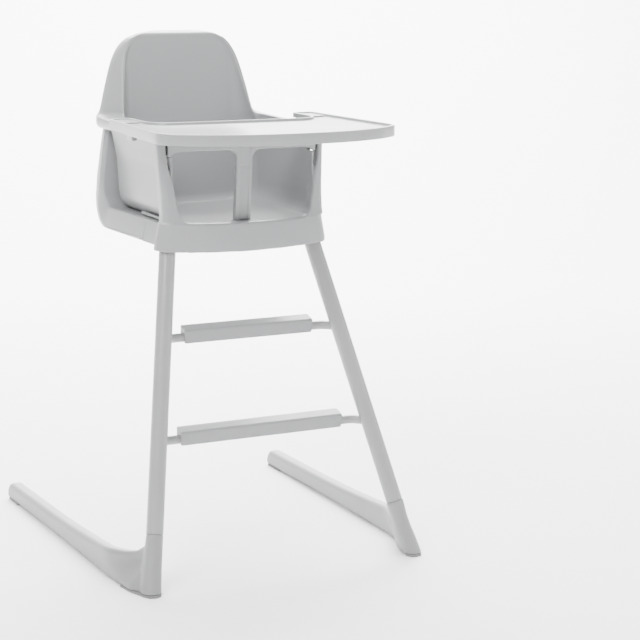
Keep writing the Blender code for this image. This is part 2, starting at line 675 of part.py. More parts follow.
apron_rings = []
for z, a in ((0.5225, 0.1562), (0.531, 0.1553), (0.550, 0.1515), (0.565, 0.1486), (0.5700, 0.1480)):
    apron_rings.append([sag(p) for p in ring_xy(apron_outline(a), z)])
boolean(insert, loft("apron", apron_rings, strip=True), "UNION")

# lip that carries the pan forward over the edge of the shell
lip_rings = []
for z, y0 in ((PAN_LOW + 0.0003, FACE_Y + 0.0012), (0.5705, FACE_Y + 0.0016),
              (PAN_Z - 0.0006, FACE_Y + 0.0034)):
    outline = rounded(-0.142, 0.142, y0, -0.100, (0.012, 0.012, 0.002, 0.002), 3, mid=9)
    lip_rings.append([sag(p) for p in ring_xy(outline, z)])
boolean(insert, loft("pan_lip", lip_rings, strip=True), "UNION")

# ---------------------------------------------------------------- front guard
half = GUARD_HALF
POST_HALF = 0.0142
bar = [(half, GUARD_LOW), (half - 0.004, GUARD_LOW + 0.0003), (0.1240, 0.6822), (0.1140, 0.6842),
       (0.100, 0.6848), (0.060, 0.6848)]
bar += [(x, z) for x, z in arc(POST_HALF + 0.016, 0.6688, 0.016, 90, 170, 6)]
bar += [(POST_HALF - 0.001, 0.6600), (POST_HALF / 2, 0.6600), (0.0, 0.6600)]
lower = [(-x, z) for x, z in bar] + bar[::-1][1:]
rings = []
for z_of in (lambda x, z: z, lambda x, z: 0.5 * (z + GUARD_TOP), lambda x, z: GUARD_TOP):
    front = [bow((x, guard_y(z_of(x, z)) + 0.0007, z_of(x, z))) for x, z in lower]
    rear = [bow((x, guard_y(z_of(x, z)) + 0.0120, z_of(x, z))) for x, z in lower]
    rings.append(front + rear[::-1])
guard = loft("front_guard", rings, (SHELL_GREY, 0.42, 0.0), strip=True)
rings = []
for z in (PAN_Z - SAG + GAP, 0.62, 0.665, 0.690):
    xs = [POST_HALF * k / 3 for k in range(-3, 4)]
    ring = [bow((x, guard_y(z), z)) for x in xs]
    ring += [bow((x, guard_y(z) + 0.0112, z)) for x in xs[::-1]]
    rings.append(ring)
rings[0] = [(x, y, z - 0.00005) for x, y, z in rings[0]]
boolean(guard, loft("guard_post", rings, strip=True), "UNION")

for label, s in SIDES:
    x0, x1 = half + GAP, ROOM_HALF - GAP
    rings = []
    for x in (x0, x1):
        rings.append([bow((s * x, guard_y(z) + y, z)) for y, z in
                      ((0.003, GUARD_LOW + 0.002), (0.011, GUARD_LOW + 0.002),
                       (0.011, GUARD_TOP), (0.003, GUARD_TOP))])
    loft("guard_seal_" + label, rings, (BLACK, 0.6, 0.0))

# ---------------------------------------------------------------- side clips
for label, s in SIDES:
    pts = rounded(0.1268, 0.1318, -0.080, 0.004, (0.0015, 0.0015, 0.0015, 0.0015), 2)
    rings = [[sag((s * x, y, z)) for x, y in pts] for z in (0.5690, 0.5728, 0.5734)]
    rings[2] = [sag((s * (x + (0.0008 if x < 0.1293 else -0.0008)), y, 0.5734)) for x, y in pts]
    loft("insert_clip_" + label, rings, (SHELL_GREY, 0.42, 0.0), origin=(s * 0.1293, -0.038, 0.571))

# ---------------------------------------------------------------- tray
TRAY_ORIGIN = (0.0, -0.150, 0.720)


def tray_outline(inset):
    """Plan outline, shrunk by inset: two rear ears, belly cut-out, bowed front."""
    i = inset
    pts = []
    pts += arc(-0.180, -0.010, 0.012 - min(i, 0.010), 180, 90, 4)              # left ear, outer
    pts += arc(-0.158, -0.006, 0.008 - min(i, 0.007), 90, 0, 4)                # left ear, inner
    pts += [(-0.150 - i, -0.040)]
    pts += arc(-0.112, -0.064, 0.038 + i, 180, 270, 6)                         # cut-out corner
    pts += [(-0.060, -0.102 - i), (0.0, -0.103 - i), (0.060, -0.102 - i)]
    pts += arc(0.112, -0.064, 0.038 + i, 270, 360, 6)
    pts += [(0.150 + i, -0.040)]
    pts += arc(0.158, -0.006, 0.008 - min(i, 0.007), 180, 90, 4)
    pts += arc(0.180, -0.010, 0.012 - min(i, 0.010), 90, 0, 4)
    side = [(0.1985 - i, -0.110), (0.2055 - i, -0.205)]
    side += arc(0.2085 - 0.040, -0.252, 0.040 - i, 0, -58, 6)
    side += [(0.160, -0.3065 + i), (0.130, -0.3190 + i), (0.095, -0.3300 + i), (0.050, -0.3375 + i)]
    pts += side + [(0.0, TRAY_FRONT + i)] + [(-x, y) for x, y in reversed(side)]
    return pts


rings = [ring_xy(tray_outline(i), z) for i, z in (
    (0.0030, TRAY_UNDER), (0.0030, TRAY_LOW), (0.0004, TRAY_LOW), (0.0, TRAY_LOW + 0.001),
    (0.0, TRAY_TOP - 0.0025), (0.0008, TRAY_TOP - 0.0007), (0.0020, TRAY_TOP),
    (0.0040, TRAY_TOP), (0.0050, TRAY_TOP - 0.0012), (0.0062, TRAY_TOP - 0.0045))]
tray = loft("tray", rings, (SHELL_GREY, 0.38, 0.0), TRAY_ORIGIN)
for label, s in SIDES:
    # the skirt is notched where the arm passes under the cut-out
    notch = box("arm_notch_" + label, (min(s * 0.1325, s * 0.1585), -0.1345, 0.700),
                (max(s * 0.1325, s * 0.1585), 0.030, TRAY_UNDER + 0.0001))
    boolean(tray, notch)
for label, s in SIDES:
    ear = rounded(0.1552, 0.1880, -0.056, -0.0035, (0.002, 0.002, 0.004, 0.004), 3)
    ear_block = slab("ear_block_" + label, [(s * x, y) for x, y in ear], TRAY_TOP - 0.0060,
                     TRAY_TOP - 0.0022)
    boolean(tray, ear_block, "UNION")
    guide = box("tray_guide_" + label, (min(s * 0.1573, s * 0.1600), -0.170, TRAY_LOW + 0.0005),
                (max(s * 0.1573, s * 0.1600), -0.034, TRAY_UNDER + 0.0008))
    boolean(tray, guide, "UNION")

# squeeze latches: plate under the ear with a hook round the arm
for label, s in SIDES:
    hook = [(0.1832, 0.7222), (0.1568, 0.7222), (0.1568, 0.6996), (0.1520, 0.6996), (0.1520, 0.6950),
            (0.1595, 0.6950), (0.1603, 0.6960), (0.1603, 0.7190), (0.1832, 0.7190)]
    rings = [[(s * x, y, z) for x, z in hook] for y in (-0.030, -0.006)]
    loft("tray_latch_" + label, rings, (SHELL_GREY, 0.42, 0.0), origin=(s * 0.1585, -0.018, 0.7205))
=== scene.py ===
"""Visual model of the baby high chair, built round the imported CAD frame."""
import json
import math

import bmesh
import bpy
from mathutils import Matrix, Vector

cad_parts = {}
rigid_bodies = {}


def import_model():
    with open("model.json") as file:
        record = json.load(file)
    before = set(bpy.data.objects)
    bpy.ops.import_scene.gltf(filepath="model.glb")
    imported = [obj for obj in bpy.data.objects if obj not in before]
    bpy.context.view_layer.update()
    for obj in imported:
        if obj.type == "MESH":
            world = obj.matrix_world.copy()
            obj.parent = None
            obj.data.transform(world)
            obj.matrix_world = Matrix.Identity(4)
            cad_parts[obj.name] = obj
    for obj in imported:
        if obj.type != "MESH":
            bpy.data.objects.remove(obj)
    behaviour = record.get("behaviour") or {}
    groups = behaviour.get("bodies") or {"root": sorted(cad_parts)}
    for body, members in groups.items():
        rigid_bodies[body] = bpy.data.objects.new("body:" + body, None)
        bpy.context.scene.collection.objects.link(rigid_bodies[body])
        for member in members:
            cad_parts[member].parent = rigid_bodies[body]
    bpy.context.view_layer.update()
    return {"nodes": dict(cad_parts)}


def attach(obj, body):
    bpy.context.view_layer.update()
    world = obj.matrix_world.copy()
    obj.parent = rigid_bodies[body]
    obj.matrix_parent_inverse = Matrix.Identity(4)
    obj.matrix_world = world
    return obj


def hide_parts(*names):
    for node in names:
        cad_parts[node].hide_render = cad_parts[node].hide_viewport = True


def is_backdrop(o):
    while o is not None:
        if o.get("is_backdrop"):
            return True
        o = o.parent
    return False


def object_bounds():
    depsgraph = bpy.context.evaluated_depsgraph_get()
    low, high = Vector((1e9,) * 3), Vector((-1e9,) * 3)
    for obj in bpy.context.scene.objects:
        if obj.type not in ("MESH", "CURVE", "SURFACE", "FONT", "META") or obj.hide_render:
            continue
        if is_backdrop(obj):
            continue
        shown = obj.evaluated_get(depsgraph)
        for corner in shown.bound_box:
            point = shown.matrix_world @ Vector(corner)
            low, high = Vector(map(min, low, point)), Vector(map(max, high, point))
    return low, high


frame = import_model()

# ------------------------------------------------------------------ dimensions
GAP = 0.0003
TUBE_R, TUBE_WALL = 0.014, 0.0015
LEG_Z = 0.089
LEG_X, LEG_Y = 0.220, -0.263
LEG_DX, LEG_DY = -0.201, 0.345
LEG_TOP = 0.550
RUNG_R, RUNG_BACK = 0.0075, 0.0240
RUNG_Z = {"upper": 0.379, "lower": 0.2217}
TREAD_HALF = {"upper": 0.1175, "lower": 0.1480}
FOOT_IN, FOOT_OUT = 0.249, 0.273
FOOT_REAR_IN, FOOT_REAR_OUT = 0.2535, 0.281
FOOT_REAR_Y = 0.3125
PAD_H = 0.004
SEAT_Z, SHELL_FRONT, SHELL_TOP = 0.567, -0.130, 0.846
SHIFT = Vector((0.0, 0.01375, 0.0))    # puts the middle of the footprint on the origin
BACK_LEAN, BEND_R, SKIN = 0.142, 0.025, 0.004
SAG, BOW, BOW_HALF = 0.006, 0.010, 0.152
PAN_LOW, PAN_Z = 0.5674, 0.5720
ARM_TOP = 0.722
ARM_OUT, ARM_IN = 0.1565, 0.134
HOOD_TOP = 0.8665
FACE_Y = -0.1345
TRAY_TOP, TRAY_LOW, TRAY_UNDER, TRAY_FRONT = 0.731, 0.713, 0.7226, -0.340
SIDES = (("left", -1), ("right", 1))

# ------------------------------------------------------------------ mesh tools
scratch = bpy.data.collections.new("scratch")
bpy.context.scene.collection.children.link(scratch)


def smooth(t):
    t = min(1.0, max(0.0, t))
    return t * t * (3 - 2 * t)


def curve(knots, t):
    """Smooth value at t through (position, value) pairs, flat past both ends."""
    if t <= knots[0][0]:
        return knots[0][1]
    if t >= knots[-1][0]:
        return knots[-1][1]
    k = max(i for i in range(len(knots) - 1) if knots[i][0] <= t)

    def slope(i):
        if i == 0 or i == len(knots) - 1:
            a, b = (0, 1) if i == 0 else (i - 1, i)
            return (knots[b][1] - knots[a][1]) / (knots[b][0] - knots[a][0])
        s0 = (knots[i][1] - knots[i - 1][1]) / (knots[i][0] - knots[i - 1][0])
        s1 = (knots[i + 1][1] - knots[i][1]) / (knots[i + 1][0] - knots[i][0])
        return 0.0 if s0 * s1 <= 0 else 2 * s0 * s1 / (s0 + s1)

    (t0, v0), (t1, v1) = knots[k], knots[k + 1]
    h = t1 - t0
    u = (t - t0) / h
    return ((1 + 2 * u) * (1 - u) ** 2 * v0 + u * (1 - u) ** 2 * h * slope(k)
            + u * u * (3 - 2 * u) * v1 + u * u * (u - 1) * h * slope(k + 1))


def spread(low, high, step):
    n = max(1, int(round((high - low) / step)))
    return [low + (high - low) * k / n for k in range(n + 1)]


def arc(cx, cy, r, a0, a1, n):
    """Points on an arc, angles in degrees."""
    out = []
    for i in range(n + 1):
        a = math.radians(a0 + (a1 - a0) * i / n)
        out.append((cx + r * math.cos(a), cy + r * math.sin(a)))
    return out


def rounded(x0, x1, y0, y1, radii, n=10, mid=20, side=6):
    """Rounded rectangle outline; radii run from (x0, y0) anticlockwise."""
    ra, rb, rc, rd = radii

    def between(p, q, count):
        return [(p[0] + (q[0] - p[0]) * (k + 1) / (count + 1),
                 p[1] + (q[1] - p[1]) * (k + 1) / (count + 1)) for k in range(count)]

    corners = [arc(x0 + ra, y0 + ra, ra, 180, 270, n), arc(x1 - rb, y0 + rb, rb, 270, 360, n),
               arc(x1 - rc, y1 - rc, rc, 0, 90, n), arc(x0 + rd, y1 - rd, rd, 90, 180, n)]
    half = side // 2
    right = between(corners[1][-1], corners[2][0], 2 * half)
    left = between(corners[3][-1], corners[0][0], 2 * half)
    return (left[half:] + corners[0] + between(corners[0][-1], corners[1][0], mid) + corners[1]
            + right + corners[2] + between(corners[2][-1], corners[3][0], mid) + corners[3]
            + left[:half])


def mesh_object(name, verts, faces, keep=False):
    mesh = bpy.data.meshes.new(name)
    mesh.from_pydata([Vector(v) for v in verts], [], faces)
    bm = bmesh.new()
    bm.from_mesh(mesh)
    bmesh.ops.remove_doubles(bm, verts=bm.verts, dist=1e-6)
    bmesh.ops.recalc_face_normals(bm, faces=bm.faces)
    bm.to_mesh(mesh)
    bm.free()
    obj = bpy.data.objects.new(name, mesh)
    if not keep:
        mesh.transform(Matrix.Translation(SHIFT))
    (bpy.context.scene.collection if keep else scratch).objects.link(obj)
    return obj


def loft(name, rings, closed=False, strip=False, keep=False):
    """Skin through equal-length rings, capped at both ends unless closed."""
    n = len(rings[0])
    verts = [p for ring in rings for p in ring]
    faces = []
    for i in range(len(rings) if closed else len(rings) - 1):
        a, b = i * n, ((i + 1) % len(rings)) * n
        for j in range(n):
            k = (j + 1) % n
            faces.append((a + j, a + k, b + k, b + j))
    last = (len(rings) - 1) * n
    if strip:
        for j in range(n // 2 - 1):
            quad = (j, j + 1, n - 2 - j, n - 1 - j)
            faces.append(quad[::-1])
            faces.append(tuple(last + k for k in quad))
    elif not closed:
        faces.append(tuple(range(n))[::-1])
        faces.append(tuple(range(last, last + n)))
    return mesh_object(name, verts, faces, keep)


def box(name, lo, hi):
    pts = [(lo[0], lo[1]), (hi[0], lo[1]), (hi[0], hi[1]), (lo[0], hi[1])]
    return loft(name, [[(x, y, z) for x, y in pts] for z in (lo[2], hi[2])])


def modify(obj, kind, **settings):
    mod = obj.modifiers.new(kind.lower(), kind)
    for key, value in settings.items():
        setattr(mod, key, value)
    return obj


def split_faces(obj):
    """Cuts every face into triangles, so a cutter never meets a bent face."""
    bm = bmesh.new()
    bm.from_mesh(obj.data)
    bmesh.ops.triangulate(bm, faces=bm.faces)
    bm.to_mesh(obj.data)
    bm.free()


def boolean(obj, other, operation="DIFFERENCE"):
    split_faces(obj)
    split_faces(other)
    return modify(obj, "BOOLEAN", operation=operation, solver="EXACT", object=other)


def bake(obj):
    """Applies every modifier."""
    graph = bpy.context.evaluated_depsgraph_get()
    graph.update()
    mesh = bpy.data.meshes.new_from_object(obj.evaluated_get(graph))
    obj.modifiers.clear()
    old = obj.data
    obj.data = mesh
    bpy.data.meshes.remove(old)
    return obj


def melt(obj, voxel, rounds, factor=0.5):
    """Remeshes a solid and relaxes it, which turns inner corners into fillets."""
    bake(obj)
    modify(obj, "REMESH", mode="VOXEL", voxel_size=voxel)
    modify(obj, "SMOOTH", factor=factor, iterations=rounds)
    return bake(obj)


def soften(obj, angle=35):
    """Smooth shading with creases kept where faces meet at more than the angle."""
    for poly in obj.data.polygons:
        poly.use_smooth = True
    obj.data.set_sharp_from_angle(angle=math.radians(angle))
    return obj


def bevel(obj, width, segments=3, angle=30):
    modify(obj, "BEVEL", width=width, segments=segments, limit_method="ANGLE",
           angle_limit=math.radians(angle), harden_normals=False)
    return bake(obj)


def show(obj, material, body, nodes):
    """Puts a finished piece in the scene, on its body, in place of CAD nodes."""
    if obj.name in scratch.objects:
        scratch.objects.unlink(obj)
        bpy.context.scene.collection.objects.link(obj)
    obj.data.materials.clear()
    obj.data.materials.append(material)
    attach(obj, body)
    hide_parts(*nodes)
    return obj


def frame_at(direction):
    t = Vector(direction).normalized()
    side = t.cross(Vector((0, 1, 0))) if abs(t.y) < 0.9 else t.cross(Vector((1, 0, 0)))
    side.normalize()
    return t, side, side.cross(t)


def circle(centre, direction, r, n=48):
    c = Vector(centre)
    _, u, v = frame_at(direction)
    return [c + r * (math.cos(2 * math.pi * k / n) * u + math.sin(2 * math.pi * k / n) * v)
            for k in range(n)]


def bow(p):
    x, y, z = p
    span = max(0.0, 1 - (x / BOW_HALF) ** 2)
    return (x, y - BOW * span * smooth((-0.03 - y) / 0.08), z)


def hang(x):
    return SAG * max(0.0, 1 - (x / BOW_HALF) ** 2)


def sag(p):
    x, y, z = bow(p)
    return (x, y, z - hang(x) * (1 - smooth((z - 0.585) / 0.05)))


def end_round(d, r):
    """How far a corner of radius r pulls an edge in at distance d from its end."""
    return r - math.sqrt(max(0.0, r * r - (r - d) ** 2)) if d < r else 0.0


def leg_axis(side, z):
    return Vector((side * (LEG_X + LEG_DX * (z - LEG_Z)), LEG_Y + LEG_DY * (z - LEG_Z), z))


# ------------------------------------------------------------------- materials
def node_material(name):
    mat = bpy.data.materials.new(name)
    mat.use_nodes = True
    tree = mat.node_tree
    return mat, tree, tree.nodes["Principled BSDF"]


def add_node(tree, kind, **inputs):
    node = tree.nodes.new(kind)
    for key, value in inputs.items():
        node.inputs[key.replace("_", " ")].default_value = value
    return node


def noise(tree, scale, detail=3.0, rough=0.5):
    coords = tree.nodes.new("ShaderNodeTexCoord")
    node = add_node(tree, "ShaderNodeTexNoise", Scale=scale, Detail=detail, Roughness=rough)
    tree.links.new(coords.outputs["Object"], node.inputs["Vector"])
    return node


def ramp(tree, source, low, high, a, b):
    """Maps a factor between low and high to a range of grey or colour."""
    node = tree.nodes.new("ShaderNodeValToRGB")
    node.color_ramp.elements[0].position, node.color_ramp.elements[1].position = low, high
    node.color_ramp.elements[0].color = (*a, 1.0)
    node.color_ramp.elements[1].color = (*b, 1.0)
    tree.links.new(source, node.inputs["Fac"])
    return node.outputs["Color"]


def span(tree, source, a, b):
    node = add_node(tree, "ShaderNodeMapRange", To_Min=a, To_Max=b)
    tree.links.new(source, node.inputs["Value"])
    return node.outputs["Result"]


def bumps(tree, bsdf, layers):
    """Stacks noise layers of (scale, strength, distance, detail) into one normal."""
    last = None
    for scale, strength, distance, detail in layers:
        node = add_node(tree, "ShaderNodeBump", Strength=strength, Distance=distance)
        tree.links.new(noise(tree, scale, detail).outputs["Fac"], node.inputs["Height"])
        if last:
            tree.links.new(last.outputs["Normal"], node.inputs["Normal"])
        last = node
    tree.links.new(last.outputs["Normal"], bsdf.inputs["Normal"])


def tinted(colour, k):
    return tuple(c * k for c in colour)


def plastic(name, colour, rough=(0.30, 0.40), grain=0.10, coat=0.15):
    """Moulded polypropylene: faint flow marks, fine grain and a painted highlight that lightens the
    edges.
    """
    mat, tree, bsdf = node_material(name)
    body = ramp(tree, noise(tree, 7.0, 4.0, 0.6).outputs["Fac"], 0.30, 0.70,
                tinted(colour, 0.975), tinted(colour, 1.02))
    # painted highlight: edges found by pointiness are mixed towards 1.10 times the base colour, broken
    # up by noise patches
    edge = tree.nodes.new("ShaderNodeNewGeometry")
    edge_highlight_mask = ramp(tree, edge.outputs["Pointiness"], 0.52, 0.60, (0.0,) * 3, (1.0,) * 3)
    highlight_patches = span(tree, noise(tree, 45.0, 5.0, 0.6).outputs["Fac"], -0.15, 0.55)
    highlight_amount = tree.nodes.new("ShaderNodeMath")
    highlight_amount.operation = "MULTIPLY"
    highlight_amount.use_clamp = True
    tree.links.new(edge_highlight_mask, highlight_amount.inputs[0])
    tree.links.new(highlight_patches, highlight_amount.inputs[1])
    mix = tree.nodes.new("ShaderNodeMix")
    mix.data_type = "RGBA"
    tree.links.new(highlight_amount.outputs[0], mix.inputs["Factor"])
    tree.links.new(body, mix.inputs["A"])
    mix.inputs["B"].default_value = (*tinted(colour, 1.10), 1.0)
    tree.links.new(mix.outputs["Result"], bsdf.inputs["Base Color"])
    tree.links.new(span(tree, noise(tree, 22.0, 6.0, 0.65).outputs["Fac"], *rough),
                   bsdf.inputs["Roughness"])
    bumps(tree, bsdf, ((9.0, 0.04, 0.004, 2.0), (1500.0, grain, 0.00012, 2.0)))
    bsdf.inputs["Coat Weight"].default_value = coat
    bsdf.inputs["Coat Roughness"].default_value = 0.22
    bsdf.inputs["IOR"].default_value = 1.49
    return mat


def powder_coat(name, colour):
    """Polyester powder coat on steel: orange peel over fine speckle."""
    mat, tree, bsdf = node_material(name)
    body = ramp(tree, noise(tree, 14.0, 4.0, 0.6).outputs["Fac"], 0.3, 0.7,
                tinted(colour, 0.97), tinted(colour, 1.02))
    speck = ramp(tree, noise(tree, 2600.0, 1.0).outputs["Fac"], 0.30, 0.42,
                 (0.93,) * 3, (1.0,) * 3)
    mix = tree.nodes.new("ShaderNodeMix")
    mix.data_type, mix.blend_type = "RGBA", "MULTIPLY"
    mix.inputs["Factor"].default_value = 1.0
    tree.links.new(body, mix.inputs["A"])
    tree.links.new(speck, mix.inputs["B"])
    tree.links.new(mix.outputs["Result"], bsdf.inputs["Base Color"])
    tree.links.new(span(tree, noise(tree, 60.0, 4.0).outputs["Fac"], 0.30, 0.42),
                   bsdf.inputs["Roughness"])
    bumps(tree, bsdf, ((420.0, 0.12, 0.0003, 3.0), (2600.0, 0.10, 0.0001, 1.0)))
    bsdf.inputs["Coat Weight"].default_value = 0.25
    bsdf.inputs["Coat Roughness"].default_value = 0.18
    return mat


def rubber(name, colour, rough=(0.65, 0.85)):
    mat, tree, bsdf = node_material(name)
    body = ramp(tree, noise(tree, 90.0, 5.0, 0.7).outputs["Fac"], 0.3, 0.7,
                tinted(colour, 0.88), tinted(colour, 1.08))
    tree.links.new(body, bsdf.inputs["Base Color"])
    tree.links.new(span(tree, noise(tree, 300.0, 3.0).outputs["Fac"], *rough),
                   bsdf.inputs["Roughness"])
    bumps(tree, bsdf, ((1300.0, 0.25, 0.0002, 3.0),))
    return mat


def bare_metal(name, colour, rough, scale, bump):
    mat, tree, bsdf = node_material(name)
    body = ramp(tree, noise(tree, scale, 4.0, 0.6).outputs["Fac"], 0.3, 0.7,
                tinted(colour, 0.86), tinted(colour, 1.06))
    tree.links.new(body, bsdf.inputs["Base Color"])
    tree.links.new(span(tree, noise(tree, scale * 2, 4.0).outputs["Fac"], *rough),
                   bsdf.inputs["Roughness"])
    bumps(tree, bsdf, ((scale * 5, bump, 0.0004, 4.0),))
    bsdf.inputs["Metallic"].default_value = 1.0
    return mat


GREY = (0.240, 0.244, 0.250)
SHELL = plastic("shell_plastic", GREY)
INSERT = plastic("insert_plastic", GREY)
TRAY = plastic("tray_plastic", (0.240, 0.244, 0.250), rough=(0.28, 0.36), coat=0.2)
FOOT = plastic("foot_plastic", (0.205, 0.207, 0.210), rough=(0.36, 0.48), grain=0.16, coat=0.05)
TREAD = plastic("tread_plastic", (0.215, 0.219, 0.224), rough=(0.36, 0.48), grain=0.16, coat=0.05)
STEEL = powder_coat("frame_powder_coat", (0.235, 0.237, 0.240))
PAD = rubber("pad_rubber", (0.160, 0.159, 0.157))
BLACK = rubber("seal_black", (0.010, 0.010, 0.011), (0.55, 0.75))
CAST = bare_metal("cast_metal", (0.52, 0.53, 0.55), (0.45, 0.65), 160.0, 0.3)
ZINC = bare_metal("zinc_plate", (0.66, 0.67, 0.70), (0.22, 0.38), 240.0, 0.08)

# ------------------------------------------------------------------- leg frame
for label, s in SIDES:
    seam, top = leg_axis(s, LEG_Z), leg_axis(s, LEG_TOP)
    d = (top - seam).normalized()
    r_in = TUBE_R - TUBE_WALL
    ends = []
    for k, (along, r) in enumerate(((0.0, r_in), (0.0, TUBE_R - 0.0004), (0.0004, TUBE_R))):
        ends.append((seam + d * along, r))
    rings = [circle(c, d, r, 64) for c, r in ends]
    rings += [circle(seam + (top - seam) * t, d, TUBE_R, 64) for t in (0.33, 0.66)]
    rings += [circle(top - d * 0.0004, d, TUBE_R, 64), circle(top, d, TUBE_R - 0.0004, 64),
              circle(top, d, r_in, 64)]
    leg = soften(loft("leg_tube_skin_" + label, rings, closed=True), 40)
    show(leg, STEEL, "frame", ["leg_tube_" + label])

for level, z in RUNG_Z.items():
    post = leg_axis(1, z)
    y_mid = post.y + RUNG_BACK
    elbow_r, turn, steps = 0.020, 45, 14
    x_end = post.x - 0.006
    x_bend = x_end - elbow_r * math.sin(math.radians(turn)) - 0.010
    path = [(x_bend * k / 6, y_mid) for k in range(1, 7)]
    for i in range(1, steps + 1):
        a = math.radians(turn * i / steps)
        path.append((x_bend + elbow_r * math.sin(a), y_mid - elbow_r * (1 - math.cos(a))))
    path.append((path[-1][0] + 0.014, path[-1][1] - 0.014))
    line = [Vector((-x, y, z)) for x, y in reversed(path)] + [Vector((x, y, z)) for x, y in path]
    rings = []
    for i, p in enumerate(line):
        before, after = line[max(0, i - 1)], line[min(len(line) - 1, i + 1)]
        side = Vector((0, 0, 1)).cross((after - before).normalized()).normalized()
        rings.append([p + RUNG_R * (math.cos(2 * math.pi * k / 40) * side
                                    + math.sin(2 * math.pi * k / 40) * Vector((0, 0, 1)))
                      for k in range(40)])
    rung = loft(level + "_rung_skin", rings)
    for label, s in SIDES:
        lo, hi = leg_axis(s, z - 0.06), leg_axis(s, z + 0.06)
        d = hi - lo
        boolean(rung, loft("mouth", [circle(lo, d, TUBE_R + 0.0001, 64),
                                     circle(hi, d, TUBE_R + 0.0001, 64)]))
    bake(rung)
    show(soften(rung, 40), STEEL, "frame", [level + "_rung"])

    r = RUNG_R + GAP
    half = TREAD_HALF[level]
    profile = [(-0.0115, -0.0085), (-0.0115, -0.0060), (-0.0115, -0.0040), (-0.0115, -0.0020)]
    profile += arc(-0.0065, 0.0095, 0.0050, 180, 100, 8) + [(-0.002, 0.0157), (0.003, 0.0173)]
    profile += arc(0.0100, 0.0150, 0.0040, 105, 0, 8) + [(0.0140, 0.0058)]
    profile += arc(0, 0, r, 24, 180, 16) + [(-r, -0.0085)]
    rings = []
    ends = [0.0, 0.0004, 0.0012, 0.0024, 0.0040, 0.0062, 0.0090, 0.05]
    for sx, d in [(-1, d) for d in ends] + [(1, d) for d in ends[::-1]]:
        rear = max(0.0085, 0.0140 - end_round(d, 0.009))
        ring = []
        for py, pz in profile:
            cut = 0.0035 * smooth((-0.0020 - pz) / 0.0065) if py < -0.009 else 0.0
            ring.append((sx * (half - max(d, cut)), y_mid + min(py, rear), z + pz))
        rings.append(ring)
    tread = loft(level + "_tread", rings)
    bevel(tread, 0.0016, 4, 50)
    show(soften(tread, 40), TREAD, "frame", [level + "_footrest"])

# ------------------------------------------------------------------------ feet
FOOT_TOP = [(-0.285, 0.074), (-0.26, 0.0640), (-0.24, 0.0570), (-0.19, 0.0510), (-0.10, 0.0440),
            (0.05, 0.0365), (FOOT_REAR_Y, 0.0310)]
FOOT_SWING, FLANK_LEAN, FOOT_END_R = 0.036, 0.85, 0.010

for label, s in SIDES:
    stations = []
    for y in spread(-0.290, FOOT_REAR_Y, 0.006)[::-1]:
        t = (y + 0.24) / (FOOT_REAR_Y + 0.24)
        inner = FOOT_IN + (FOOT_REAR_IN - FOOT_IN) * t
        outer = FOOT_OUT + (FOOT_REAR_OUT - FOOT_OUT) * t
        top = curve(FOOT_TOP, y)
        swing = FOOT_SWING * smooth((-0.165 - y) / 0.12)
        low = PAD_H + GAP + 0.0022 * max(0.0, 1 - ((y - 0.03) / 0.20) ** 2)
        back = FOOT_REAR_Y - y
        top -= end_round(back, FOOT_END_R)
        pts = rounded(inner - swing, outer - swing, low, top, (0.003, 0.003, 0.009, 0.009),
                      6, 2, 6)
        # the flank leans out below, where the skid widens over the pad
        pts = [(x + FLANK_LEAN * swing * (1 - smooth((z - low) / 0.045)), z) for x, z in pts]
        if y < -0.20:
            reach = 0.0165 + 0.8 * (y + 0.285)
            pts = [(min(max(x, leg_axis(1, z).x - 0.0130), leg_axis(1, z).x + reach), z)
                   for x, z in pts]
        # the front end leans back with the post it runs into
        follow = smooth((-0.215 - y) / 0.065)
        stations.append([(s * x, y + follow * (leg_axis(1, z).y - leg_axis(1, 0.0).y), z)
                         for x, z in pts])
    foot = loft("foot_skin_" + label, stations)
    rings = []
    for z in spread(PAD_H + GAP, LEG_Z - GAP, 0.004):
        c = leg_axis(s, z)
        rx_out = curve([(0.004, 0.0185), (0.024, 0.0175), (0.044, 0.0155), (0.056, 0.0145),
                        (0.068, TUBE_R)], z)
        rx_in = curve([(0.004, 0.0142), (0.024, 0.0142), (0.044, TUBE_R)], z)
        front = curve([(0.004, 0.0185), (0.024, 0.0158), (0.044, 0.0146), (0.068, TUBE_R)], z)
        rear = curve([(0.004, 0.040), (0.024, 0.038), (0.044, 0.034), (0.056, 0.028),
                      (0.068, 0.0235), (0.080, 0.0165), (0.088, TUBE_R)], z)
        ring = []
        tilt = smooth((z - 0.060) / 0.025)
        d = (leg_axis(s, 1.0) - leg_axis(s, 0.0)).normalized()
        for k in range(48):
            a = 2 * math.pi * k / 48
            cx, cy = math.cos(a), math.sin(a)
            dx = cx * (rx_out if cx * s > 0 else rx_in)
            dy = cy * (front if cy < 0 else rear)
            ring.append((c.x + dx, c.y + dy, z - tilt * (dx * d.x + dy * d.y) / d.z))
        rings.append(ring)
    boolean(foot, loft("post", rings), "UNION")
    melt(foot, 0.0013, 8)
    show(soften(foot, 60), FOOT, "frame", ["foot_" + label])

    c = leg_axis(s, 0.0)
    outline = [(abs(c.x) - 0.0145, -0.3000), (abs(c.x) - 0.009, -0.3095), (abs(c.x), -0.3125),
               (abs(c.x) + 0.010, -0.3095), (abs(c.x) + 0.0165, -0.2980),
               (FOOT_OUT - 0.0080, -0.266), (FOOT_OUT - 0.0030, -0.235),
               (FOOT_IN + 0.001, -0.235), (FOOT_IN - 0.006, -0.258)]
    pad = loft("front_glide_" + label, [[(s * x, y, z) for x, y in outline] for z in (0.0, PAD_H)])
    show(soften(bevel(pad, 0.0008, 3, 20), 40), PAD, "frame", ["front_pad_" + label])
    outline = rounded(FOOT_REAR_IN + 0.0005, FOOT_REAR_OUT - 0.001, 0.260, FOOT_REAR_Y - 0.0005,
                      (0.003, 0.003, 0.005, 0.005), 6, 0, 0)
    pad = loft("rear_glide_" + label, [[(s * x, y, z) for x, y in outline] for z in (0.0, PAD_H)])
    show(soften(bevel(pad, 0.0008, 3, 40), 40), PAD, "frame", ["rear_pad_" + label])

